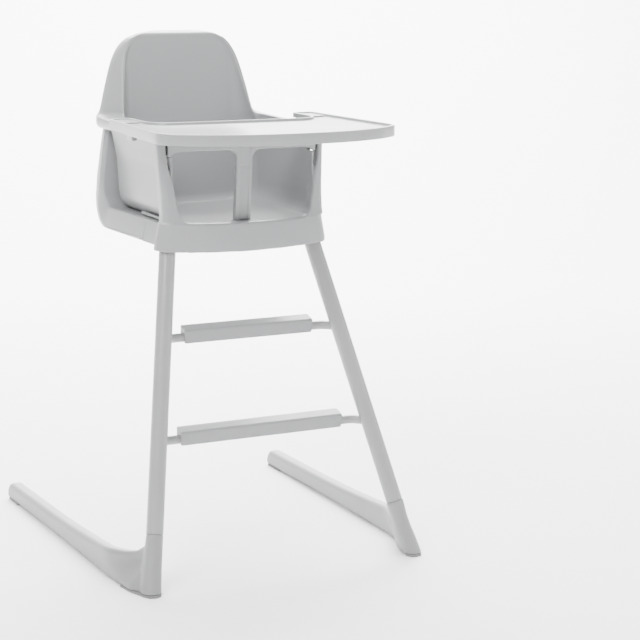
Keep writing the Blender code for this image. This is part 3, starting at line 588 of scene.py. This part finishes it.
# ------------------------------------------------------------------ seat shell
LEAN = math.atan(BACK_LEAN)
LINE_Y, LINE_Z = 0.123, 0.600
BEND_Z = SEAT_Z + BEND_R
BEND_Y = LINE_Y + (BEND_Z - LINE_Z) * BACK_LEAN - BEND_R / math.cos(LEAN)
SEAT_LEN = BEND_Y - SHELL_FRONT
BEND_LEN = BEND_R * (math.pi / 2 - LEAN)
BACK_START_Z = BEND_Z - BEND_R * math.sin(LEAN)
PATH_LEN = SEAT_LEN + BEND_LEN + (SHELL_TOP - BACK_START_Z) / math.cos(LEAN)
FRONT_CORNER, TOP_CORNER, COVER_START = 0.018, 0.042, 0.075


def path_at(s):
    if s <= SEAT_LEN:
        return (SHELL_FRONT + s, SEAT_Z), (0.0, -1.0)
    if s <= SEAT_LEN + BEND_LEN:
        a = (s - SEAT_LEN) / BEND_R
        n = (math.sin(a), -math.cos(a))
        return (BEND_Y + BEND_R * n[0], BEND_Z + BEND_R * n[1]), n
    d = s - SEAT_LEN - BEND_LEN
    n = (math.cos(LEAN), -math.sin(LEAN))
    return (BEND_Y + BEND_R * n[0] + d * math.sin(LEAN),
            BEND_Z + BEND_R * n[1] + d * math.cos(LEAN)), n


def back_front_y(z):
    if z >= BACK_START_Z:
        return LINE_Y + (z - LINE_Z) * BACK_LEAN
    return BEND_Y + math.sqrt(max(0.0, BEND_R ** 2 - (BEND_Z - z) ** 2))


def shell_width(z):
    return curve([(0.567, 0.153), (0.60, 0.1568), (0.65, 0.1495), (0.70, 0.1400), (0.78, 0.1205),
                  (0.846, 0.1060)], z)


def shell_params(s):
    (y, z), _ = path_at(s)
    on_back = smooth((s - SEAT_LEN + 0.015) / (BEND_LEN + 0.035))
    w_seat = 0.1428 + 0.0102 * (y - SHELL_FRONT) / (BEND_Y - SHELL_FRONT)
    w = w_seat if s < SEAT_LEN else shell_width(z)
    depth = curve([(0, 0.036), (SEAT_LEN, 0.036), (SEAT_LEN + BEND_LEN * 0.5, 0.0435),
                   (SEAT_LEN + BEND_LEN, 0.050), (PATH_LEN, 0.034)], s)
    flange = depth * (1 - on_back) + 0.009 * on_back
    flare = 0.008 * (1 - on_back) + 0.0015 * on_back
    return w, flare, flange, depth, on_back


def to_world(x, s, n):
    (y, z), (ny, nz) = path_at(s)
    return (x, y + n * ny, z + n * nz)


def skin_ring(s, hollow):
    w, flare, flange, depth, on_back = shell_params(s)
    front, top = s, PATH_LEN - s
    pull = max(end_round(front, FRONT_CORNER), end_round(top, TOP_CORNER))
    lip = max(end_round(front, 0.006), end_round(top, 0.006))
    if s > COVER_START:
        flange = min(flange, depth - 0.0033)
    wi = w - SKIN - max(end_round(max(front - SKIN, 0), FRONT_CORNER - SKIN),
                        end_round(max(top - SKIN, 0), TOP_CORNER - SKIN))
    w -= pull
    level = SKIN if hollow else flange - 0.0006
    edge = 0.005
    outer = [(-w - flare, flange - 0.0008), (-w - flare * 0.8, flange - (flange - edge) * 0.2),
             (-w - flare * edge / flange, edge)]
    outer += [(-w + edge - edge * math.cos(math.radians(a)), edge - edge * math.sin(math.radians(a)))
              for a in (15, 30, 45, 60, 75, 90)]
    across = 30
    for k in range(1, across):
        outer.append(((-1 + 2 * k / across) * (w - edge), 0.0))
    outer += [(-x, n) for x, n in reversed(outer[:9])]
    inner = [(wi + flare * 0.9, flange)]
    inner += [((1 - k / 12) * wi, level) for k in range(25)]
    inner += [(-wi - flare * 0.9, flange)]
    pts = [(x, max(n, lip) + hang(x)) for x, n in outer]
    pts += [(w + flare - 0.0008, flange + hang(w))]
    pts += [(x, n + hang(x)) for x, n in inner]
    pts += [(-w - flare + 0.0008, flange + hang(w))]
    return [bow(to_world(x, s, n)) for x, n in pts]


def shell_stations(start, end):
    marks = set(spread(0.025, SEAT_LEN, 0.012)) | set(spread(SEAT_LEN, SEAT_LEN + BEND_LEN, 0.0022))
    marks |= set(spread(SEAT_LEN + BEND_LEN + 0.003, PATH_LEN - 0.045, 0.008))
    marks |= {FRONT_CORNER * (1 - math.cos(math.radians(a))) for a in range(0, 95, 7)}
    marks |= {PATH_LEN - TOP_CORNER * (1 - math.cos(math.radians(a))) for a in range(0, 95, 5)}
    marks |= {COVER_START, COVER_START + 0.0002}
    found = sorted(m for m in marks if start <= m <= end)
    return [m for i, m in enumerate(found) if i == 0 or m - found[i - 1] > 0.00015]


marks = shell_stations(0.0, PATH_LEN)
rings = [skin_ring(s, False) for s in marks if s < SKIN - 1e-6]
rings += [skin_ring(SKIN, False), skin_ring(SKIN + 0.0002, True)]
rings += [skin_ring(s, True) for s in marks if SKIN + 0.001 < s < PATH_LEN - SKIN - 0.001]
rings += [skin_ring(PATH_LEN - SKIN - 0.0002, True), skin_ring(PATH_LEN - SKIN, False)]
rings += [skin_ring(s, False) for s in marks if s > PATH_LEN - SKIN + 1e-6]
shell = soften(loft("seat_shell_skin", rings), 38)
show(shell, SHELL, "frame", ["seat_shell"])


def cover_ring(s):
    w, flare, flange, depth, on_back = shell_params(s)
    top = PATH_LEN - s
    w -= end_round(top, TOP_CORNER)
    flange = min(flange, depth - 0.0033)
    n0 = flange + GAP
    w0 = w + flare
    rounding = max(0.0015, min(0.030, depth - n0) * on_back)
    n1 = depth - (end_round(top, 0.022) * (depth - n0 - 0.0045) / 0.022 if top < 0.022 else 0)
    rounding = min(rounding, n1 - n0 - 0.0004)
    thick = 0.003
    outer = [(-w0, n0)]
    for k in range(13):
        a = math.radians(90 * k / 12)
        outer.append((-w0 + rounding * (1 - math.cos(a)), n1 - rounding * (1 - math.sin(a))))
    wide = w0 - rounding
    for k in range(1, 24):
        outer.append((-wide + wide * k / 12, n1))
    outer += [(-x, n) for x, n in reversed(outer[:14])]
    wi = w0 - thick
    ri = max(0.0008, rounding - thick)
    level = max(n1 - thick, n0 + 0.0002)
    inner = [(wi, n0)]
    for k in range(7):
        a = math.radians(15 * k)
        inner.append((wi - ri * (1 - math.cos(a)), max(level - ri * (1 - math.sin(a)), n0 + 0.0001)))
    for k in range(1, 16):
        inner.append(((wi - ri) * (1 - k / 8), level))
    inner += [(-x, n) for x, n in reversed(inner[:8])]
    return [bow(to_world(x, s, n + hang(x))) for x, n in outer + inner]


cover = loft("back_cover_skin", [cover_ring(s) for s in
                                 shell_stations(COVER_START + 0.0004, PATH_LEN - 0.0001)])
show(soften(cover, 38), SHELL, "frame", ["back_cover"])

# ----------------------------------------------------------------- baby insert
CLEAR = 0.0008
BUCKET_A = [(PAN_LOW, 0.1105), (0.5687, 0.116), (0.571, 0.1205), (0.575, 0.124), (0.580, 0.1270),
            (0.586, 0.1287), (0.592, 0.1295), (0.600, 0.130), (0.650, 0.131), (0.6700, 0.1335),
            (0.7035, 0.1385)]
HOOD_A = [(0.7235, 0.1545), (0.728, 0.1515), (0.739, 0.1480), (0.775, 0.1380), (0.8277, 0.1220),
          (0.843, 0.1140), (0.8545, 0.1020), (0.862, 0.0860), (HOOD_TOP, 0.0660)]
HOOD_BACK = [(0.700, 0.1975), (0.7045, 0.2000), (0.8277, 0.2000), (0.843, 0.1990),
             (0.8545, 0.1965), (0.862, 0.1920), (HOOD_TOP, 0.1840)]
CAVITY_A = [(PAN_Z, 0.104), (0.5745, 0.113), (0.579, 0.1190), (0.589, 0.1240), (0.602, 0.1260),
            (0.650, 0.1268), (0.700, 0.1262), (0.7302, 0.1208), (0.771, 0.1140), (0.8025, 0.1083),
            (0.828, 0.1028), (0.841, 0.0968), (0.851, 0.0885), (0.858, 0.0780), (0.8625, 0.0640)]
HOOD_FOOT = [(0.700, 0.1495), (0.7035, 0.1540), (0.7080, 0.1560), (0.7125, ARM_OUT)]
HOOD_FOOT_Z = [0.700, 0.7008, 0.7020, 0.7035, 0.7055, 0.7080, 0.7125, 0.7175, 0.7200, 0.7215]
HOOD_CORNER = [(0.73, 0.059), (0.80, 0.050)]
WING_START = [(0.7267, 0.168), (0.7694, 0.170), (0.814, 0.176), (0.8406, 0.184)]
WING_LEAN = 0.45
CAVITY_CORNER = [(0.72, 0.034), (0.78, 0.024), (0.82, 0.014), (0.85, 0.009)]
BACK_WALL = 0.0035
POCKET_BACK, POCKET_CORNER = 0.1965, 0.039
GUARD_LOW, GUARD_TOP, GUARD_HALF, ROOM_HALF = 0.6772, 0.7125, 0.1345, 0.1378


def face_y(z):
    return curve([(0.565, FACE_Y), (0.581, -0.1318), (0.616, -0.1280), (0.704, -0.1205)], z)


def guard_y(z):
    return curve([(0.566, -0.1120), (0.690, -0.1210), (GUARD_TOP, -0.1222)], z)


def heights(knots, step):
    """Ring heights through every knot, no further apart than step."""
    out = []
    for (z0, _), (z1, _) in zip(knots, knots[1:]):
        out += spread(z0, z1, step)[:-1] if z1 - z0 > step else [z0]
    return out + [knots[-1][0]]


rings = []
for z in heights(BUCKET_A, 0.006):
    a = curve(BUCKET_A, z)
    outline = rounded(-a, a, face_y(z) + 0.0022, back_front_y(z) - CLEAR,
                      (0.006, 0.006, 0.012, 0.012))
    rings.append([sag((x, y, z)) for x, y in outline])
insert = loft("insert_moulding", rings, strip=True)

rings = []
for z in HOOD_FOOT_Z + heights(HOOD_A, 0.005):
    a = curve(HOOD_FOOT if z < HOOD_A[0][0] else HOOD_A, z)
    r = curve(HOOD_CORNER, z)
    outline = rounded(-a, a, -0.1200, curve(HOOD_BACK, z), (0.010, 0.010, r, r), 14, 21, 30)
    # above the arms the sides close in towards the front
    start = curve(WING_START, z)
    lean = WING_LEAN * smooth((z - 0.7180) / 0.0075) / a
    outline = [(x * max(0.2, 1 - lean * max(0.0, start - y)), y) for x, y in outline]
    rings.append([bow((x, y, z)) for x, y in outline])
boolean(insert, loft("hood_block", rings, strip=True), "UNION")

rings = []
for z in heights(CAVITY_A, 0.005):
    y_back = back_front_y(z + 0.001) - CLEAR - BACK_WALL
    a = curve(CAVITY_A, z)
    r = curve(CAVITY_CORNER, z)
    outline = rounded(-a, a, -0.185, y_back, (0.001, 0.001, r, r), 14)
    rings.append([sag((x, y, z)) for x, y in outline])
boolean(insert, loft("occupant_space", rings, strip=True))

rings = []
for z in [0.6812] + spread(0.7131, 0.8507, 0.0053):
    a = shell_width(z) + 0.0035 - end_round(max(0.0, 0.8507 - z), TOP_CORNER) * 0.92
    r = min(POCKET_CORNER, POCKET_BACK - back_front_y(z) - 0.004)
    outline = rounded(-a, a, back_front_y(z) - GAP, POCKET_BACK, (0.003, 0.003, r, r), 12, 8)
    rings.append([(x, y, z) for x, y in outline])
boolean(insert, loft("shell_pocket", rings, strip=True))

side_profile = [(-0.25, ARM_TOP), (0.090, ARM_TOP)]
side_profile += arc(0.090, ARM_TOP + 0.020, 0.020, 270, 345, 12)[1:]
side_profile += [(curve([(0.744, 0.1135), (0.7694, 0.1225), (0.812, 0.1385), (0.835, 0.1472),
                         (0.848, 0.1526), (0.859, 0.1549)], z), z)
                 for z in spread(0.744, 0.859, 0.006)]
side_profile += [(0.1578, 0.8628), (0.1640, 0.8655), (0.175, 0.8675), (0.175, 0.92),
                 (-0.25, 0.92)]
boolean(insert, loft("open_front", [[(x, y, z) for y, z in side_profile] for x in (-0.2, 0.2)]))
arm_gap = rounded(-ARM_IN, ARM_IN, -0.19, 0.100, (0.001, 0.001, 0.020, 0.020))
boolean(insert, loft("arm_gap", [[(x, y, z) for x, y in arm_gap] for z in (0.6993, 0.7310)]))
boolean(insert, box("guard_room", (-ROOM_HALF, -0.19, GUARD_LOW - 0.001),
                    (ROOM_HALF, -0.1040, 0.75)))

COLUMN_IN = [(0.5705, 0.1040), (0.5740, 0.1110), (0.5814, 0.1178), (0.600, 0.1226),
             (0.616, 0.1254), (0.632, 0.1285), (0.655, 0.1342), (GUARD_LOW - 0.003, 0.1379),
             (0.690, 0.1382), (0.7040, 0.1382)]
COLUMN_OUT = [(0.5705, 0.1474), (0.5814, 0.1463), (0.600, 0.1464), (0.616, 0.1467),
              (0.632, 0.1476), (0.655, 0.1490), (0.690, 0.1510), (0.7040, 0.1517)]
for label, s in SIDES:
    rings = []
    for z in heights(COLUMN_IN, 0.005):
        y0 = face_y(z)
        outline = rounded(curve(COLUMN_IN, z), curve(COLUMN_OUT, z), y0, y0 + 0.023,
                          (0.003, 0.0095, 0.002, 0.002), 10, 5, 2)
        rings.append([sag((s * x, y, z)) for x, y in outline])
    boolean(insert, loft("column_" + label, rings, strip=True), "UNION")


def apron_outline(a):
    t, r, tail = 0.0034, 0.020, -0.108
    outer = [(-a, tail)] + arc(-a + r, FACE_Y + r, r, 180, 270, 12)
    outer += [((-1 + k / 12) * (a - r), FACE_Y) for k in range(1, 24)]
    outer += arc(a - r, FACE_Y + r, r, 270, 360, 12) + [(a, tail)]
    inner = [(-a + t, tail)] + arc(-a + r, FACE_Y + r, r - t, 180, 270, 12)
    inner += [((-1 + k / 12) * (a - r), FACE_Y + t) for k in range(1, 24)]
    inner += arc(a - r, FACE_Y + r, r - t, 270, 360, 12) + [(a - t, tail)]
    return outer + inner[::-1]


APRON = [(0.5225, 0.1562), (0.531, 0.1553), (0.550, 0.1515), (0.565, 0.1486), (0.5700, 0.1480)]
rings = [[sag((x, y, z)) for x, y in apron_outline(curve(APRON, z))] for z in heights(APRON, 0.006)]
boolean(insert, loft("apron", rings, strip=True), "UNION")
rings = []
for z, y0 in ((PAN_LOW + 0.0003, FACE_Y + 0.0012), (0.5705, FACE_Y + 0.0016),
              (PAN_Z - 0.0006, FACE_Y + 0.0034)):
    outline = rounded(-0.142, 0.142, y0, -0.100, (0.012, 0.012, 0.002, 0.002), 8, 30, 2)
    rings.append([sag((x, y, z)) for x, y in outline])
boolean(insert, loft("pan_lip", rings, strip=True), "UNION")
melt(insert, 0.0014, 6)
show(soften(insert, 70), INSERT, "insert", ["seat_insert"])

# ----------------------------------------------------------------- front guard
half, post_half = GUARD_HALF, 0.0142
bar = [(half, GUARD_LOW), (half - 0.004, GUARD_LOW + 0.0003)]
bar += [(x, curve([(0.100, 0.6848), (0.114, 0.6842), (0.124, 0.6822), (0.1305, 0.6775)], x))
        for x in (0.1275, 0.124, 0.119, 0.114, 0.107, 0.100)]
bar += [(x, 0.6848) for x in (0.090, 0.080, 0.070, 0.060, 0.050, 0.038)]
bar += arc(post_half + 0.016, 0.6688, 0.016, 90, 170, 12)
bar += [(post_half - 0.001, 0.6600), (post_half / 2, 0.6600), (0.0, 0.6600)]
lower = [(-x, z) for x, z in bar] + bar[::-1][1:]
rings = []
for t in (0.0, 0.33, 0.66, 1.0):
    zs = [z + (GUARD_TOP - z) * t for _, z in lower]
    front = [bow((x, guard_y(z) + 0.0007, z)) for (x, _), z in zip(lower, zs)]
    rear = [bow((x, guard_y(z) + 0.0120, z)) for (x, _), z in zip(lower, zs)]
    rings.append(front + rear[::-1])
guard = loft("front_guard_skin", rings, strip=True)
rings = []
for z in [PAN_Z - SAG + GAP] + spread(0.58, 0.690, 0.011):
    xs = [post_half * k / 12 for k in range(-12, 13)]
    ring = [bow((x, guard_y(z) + 0.0020 * (1 - smooth((abs(x) - 0.0078) / 0.0020)), z)) for x in xs]
    rings.append(ring + [bow((x, guard_y(z) + 0.0112, z)) for x in xs[::-1]])
boolean(guard, loft("guard_post", rings, strip=True), "UNION")
melt(guard, 0.0008, 4)
show(soften(guard, 60), INSERT, "insert", ["front_guard"])

for label, s in SIDES:
    rings = []
    for x in (half + GAP, ROOM_HALF - GAP):
        rings.append([bow((s * x, guard_y(z) + y, z)) for y, z in
                      ((0.003, GUARD_LOW + 0.002), (0.011, GUARD_LOW + 0.002),
                       (0.011, GUARD_TOP), (0.003, GUARD_TOP))])
    seal = bevel(loft("guard_seal_strip_" + label, rings), 0.0006, 3, 40)
    show(soften(seal, 40), BLACK, "insert", ["guard_seal_" + label])

    pts = rounded(0.1268, 0.1318, -0.080, 0.004, (0.0018,) * 4, 6, 2, 16)
    rings = [[sag((s * x, y, z)) for x, y in pts] for z in (0.5690, 0.5705, 0.5720, 0.5734)]
    clip = bevel(loft("side_clip_" + label, rings), 0.0007, 3, 50)
    show(soften(clip, 45), INSERT, "clip_" + label, ["insert_clip_" + label])

# ------------------------------------------------------------------------ tray


def tray_outline(i):
    n = 10
    pts = arc(-0.180, -0.010, 0.012 - min(i, 0.010), 180, 90, n)
    pts += arc(-0.158, -0.006, 0.008 - min(i, 0.007), 90, 0, n)
    pts += [(-0.150 - i, -0.020), (-0.150 - i, -0.040)]
    pts += arc(-0.112, -0.064, 0.038 + i, 180, 270, 2 * n)
    pts += [(x, -0.102 - i - 0.001 * (1 - (x / 0.112) ** 2)) for x in spread(-0.10, 0.10, 0.02)]
    pts += arc(0.112, -0.064, 0.038 + i, 270, 360, 2 * n)
    pts += [(0.150 + i, -0.040), (0.150 + i, -0.020)]
    pts += arc(0.158, -0.006, 0.008 - min(i, 0.007), 180, 90, n)
    pts += arc(0.180, -0.010, 0.012 - min(i, 0.010), 90, 0, n)
    side = [(curve([(-0.240, 0.2080), (-0.205, 0.2055), (-0.110, 0.1985), (-0.020, 0.1920)], y) - i, y)
            for y in spread(-0.030, -0.240, -0.015)]
    side += arc(0.2085 - 0.040, -0.252, 0.040 - i, 0, -58, 2 * n)
    front = [(0.0, TRAY_FRONT), (0.050, -0.3375), (0.095, -0.3300), (0.130, -0.3190),
             (0.160, -0.3065), (0.1897, -0.2859)]
    side += [(x, curve(front, x) + i) for x in spread(0.178, 0.0, -0.008)[:-1]]
    pts += side + [(0.0, TRAY_FRONT + i)] + [(-x, y) for x, y in reversed(side)]
    return pts


profile = [(0.0030, TRAY_UNDER), (0.0030, TRAY_LOW + 0.0003), (0.0024, TRAY_LOW),
           (0.0008, TRAY_LOW), (0.0002, TRAY_LOW + 0.0003), (0.0, TRAY_LOW + 0.001),
           (0.0, TRAY_TOP - 0.0030)]
profile += [(0.0020 - 0.0020 * math.cos(math.radians(a)),
             TRAY_TOP - 0.0020 + 0.0020 * math.sin(math.radians(a))) for a in (15, 35, 55, 75, 90)]
profile += [(0.0040, TRAY_TOP), (0.0046, TRAY_TOP - 0.0003), (0.0052, TRAY_TOP - 0.0012),
            (0.0058, TRAY_TOP - 0.0034), (0.0064, TRAY_TOP - 0.0043), (0.0074, TRAY_TOP - 0.0046)]
tray = loft("tray_table", [[(x, y, z) for x, y in tray_outline(i)] for i, z in profile])
for label, s in SIDES:
    boolean(tray, box("arm_notch", (min(s * 0.1325, s * 0.1585), -0.1345, 0.700),
                      (max(s * 0.1325, s * 0.1585), 0.030, TRAY_UNDER + 0.0001)))
    ear = rounded(0.1562, 0.1868, -0.055, -0.0045, (0.004, 0.004, 0.006, 0.006), 8, 4, 4)
    rings = [[(s * (0.1715 + (x - 0.1715) * k), -0.02975 + (y + 0.02975) * k, z) for x, y in ear]
             for k, z in ((1.0, TRAY_TOP - 0.0065), (0.99, TRAY_TOP - 0.0030),
                          (0.97, TRAY_TOP - 0.0024), (0.93, TRAY_TOP - 0.0021))]
    boolean(tray, loft("ear_block", rings), "UNION")
bake(tray)
show(soften(tray, 40), TRAY, "table", ["tray"])

for label, s in SIDES:
    hook = [(0.1832, 0.7222), (0.1568, 0.7222), (0.1568, 0.6996), (0.1520, 0.6996),
            (0.1520, 0.6950), (0.1595, 0.6950), (0.1603, 0.6960), (0.1603, 0.7190),
            (0.1832, 0.7190)]
    rings = [[(s * x, y, z) for x, z in hook] for y in (-0.030, -0.006)]
    latch = bevel(loft("tray_catch_" + label, rings), 0.0007, 3, 40)
    show(soften(latch, 40), INSERT, "latch_" + label, ["tray_latch_" + label])

# -------------------------------------------------- CAD nodes that stay in view
for node, look in (("leg_socket_left", CAST), ("leg_socket_right", CAST), ("leg_bolt_left", ZINC),
                   ("leg_bolt_right", ZINC), ("seat_cross_tube", STEEL)):
    obj = frame["nodes"][node]
    for k in range(max(1, len(obj.material_slots))):
        if obj.material_slots:
            obj.material_slots[k].material = look
        else:
            obj.data.materials.append(look)

for leftover in list(scratch.objects):
    bpy.data.objects.remove(leftover, do_unlink=True)
bpy.data.collections.remove(scratch)

# ----------------------------------------------------------- stage, light, camera
# one seamless sweep of pale paper: floor, wide curve and wall behind the chair
sweep = [(-9.0, 0.0), (2.2, 0.0)] + [(2.2 + 2.4 * math.sin(math.radians(a)),
                                      2.4 - 2.4 * math.cos(math.radians(a)))
                                     for a in range(5, 91, 5)] + [(4.6, 9.0)]
paper, tree, bsdf = node_material("studio_paper")
tree.links.new(ramp(tree, noise(tree, 1.2, 2.0).outputs["Fac"], 0.3, 0.7, (0.95,) * 3, (0.97,) * 3),
               bsdf.inputs["Base Color"])
bsdf.inputs["Roughness"].default_value = 0.95
bsdf.inputs["Specular IOR Level"].default_value = 0.1
across = [(x, y, z) for y, z in sweep for x in (-9.0, 9.0)]
floor = mesh_object("studio_sweep", across, [(2 * k, 2 * k + 1, 2 * k + 3, 2 * k + 2)
                                             for k in range(len(sweep) - 1)], keep=True)
floor.data.materials.append(paper)
turn_floor = Matrix.Rotation(math.radians(-24.0), 4, "Z")
floor.data.transform(turn_floor)
soften(floor, 60)
floor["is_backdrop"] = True

world = bpy.data.worlds.new("studio")
bpy.context.scene.world = world
world.use_nodes = True
world.node_tree.nodes["Background"].inputs["Color"].default_value = (1.0, 1.0, 1.0, 1.0)
world.node_tree.nodes["Background"].inputs["Strength"].default_value = 1.35


def softbox(name, place, target, size, power):
    data = bpy.data.lights.new(name, "AREA")
    data.shape, data.size, data.energy = "SQUARE", size, power
    lamp = bpy.data.objects.new(name, data)
    lamp.location = place
    lamp.rotation_mode = "QUATERNION"
    lamp.rotation_quaternion = (Vector(target) - Vector(place)).to_track_quat("-Z", "Y")
    bpy.context.scene.collection.objects.link(lamp)


CENTRE = (0.0, 0.0, 0.45)
softbox("key", (-2.0, -1.6, 2.8), CENTRE, 1.4, 120)
softbox("fill", (2.6, -1.8, 1.4), CENTRE, 2.0, 30)
softbox("top", (0.2, 0.4, 3.2), CENTRE, 2.0, 120)
softbox("sweep_wash", (1.4, 3.0, 4.0), (1.4, 4.8, 0.4), 3.0, 1300)

# camera: same place and viewing direction as the reference view, turned so that
# the chair sits left of the middle of the frame
IMAGE, FOCAL = 640, 1860.0
EYE = Vector((-1.2917, -2.9183, 1.0160)) + SHIFT
AIM = Vector((0.0, -0.0420, 0.4500)) + SHIFT
AIM_OFFSET = (-96.6, 39.4)
data = bpy.data.cameras.new("camera")
data.sensor_width = 36.0
data.lens = 36.0 * FOCAL / IMAGE
data.clip_end = 100.0
cam = bpy.data.objects.new("camera", data)
cam.location = EYE
level = (AIM - EYE).to_track_quat("-Z", "Y")
ray = Vector((AIM_OFFSET[0] / FOCAL, AIM_OFFSET[1] / FOCAL, -1.0)).normalized()
turn = Vector((0, 0, -1)).rotation_difference(ray)
cam.rotation_mode = "QUATERNION"
cam.rotation_quaternion = level @ turn.inverted()
bpy.context.scene.collection.objects.link(cam)
bpy.context.scene.camera = cam

low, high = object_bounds()
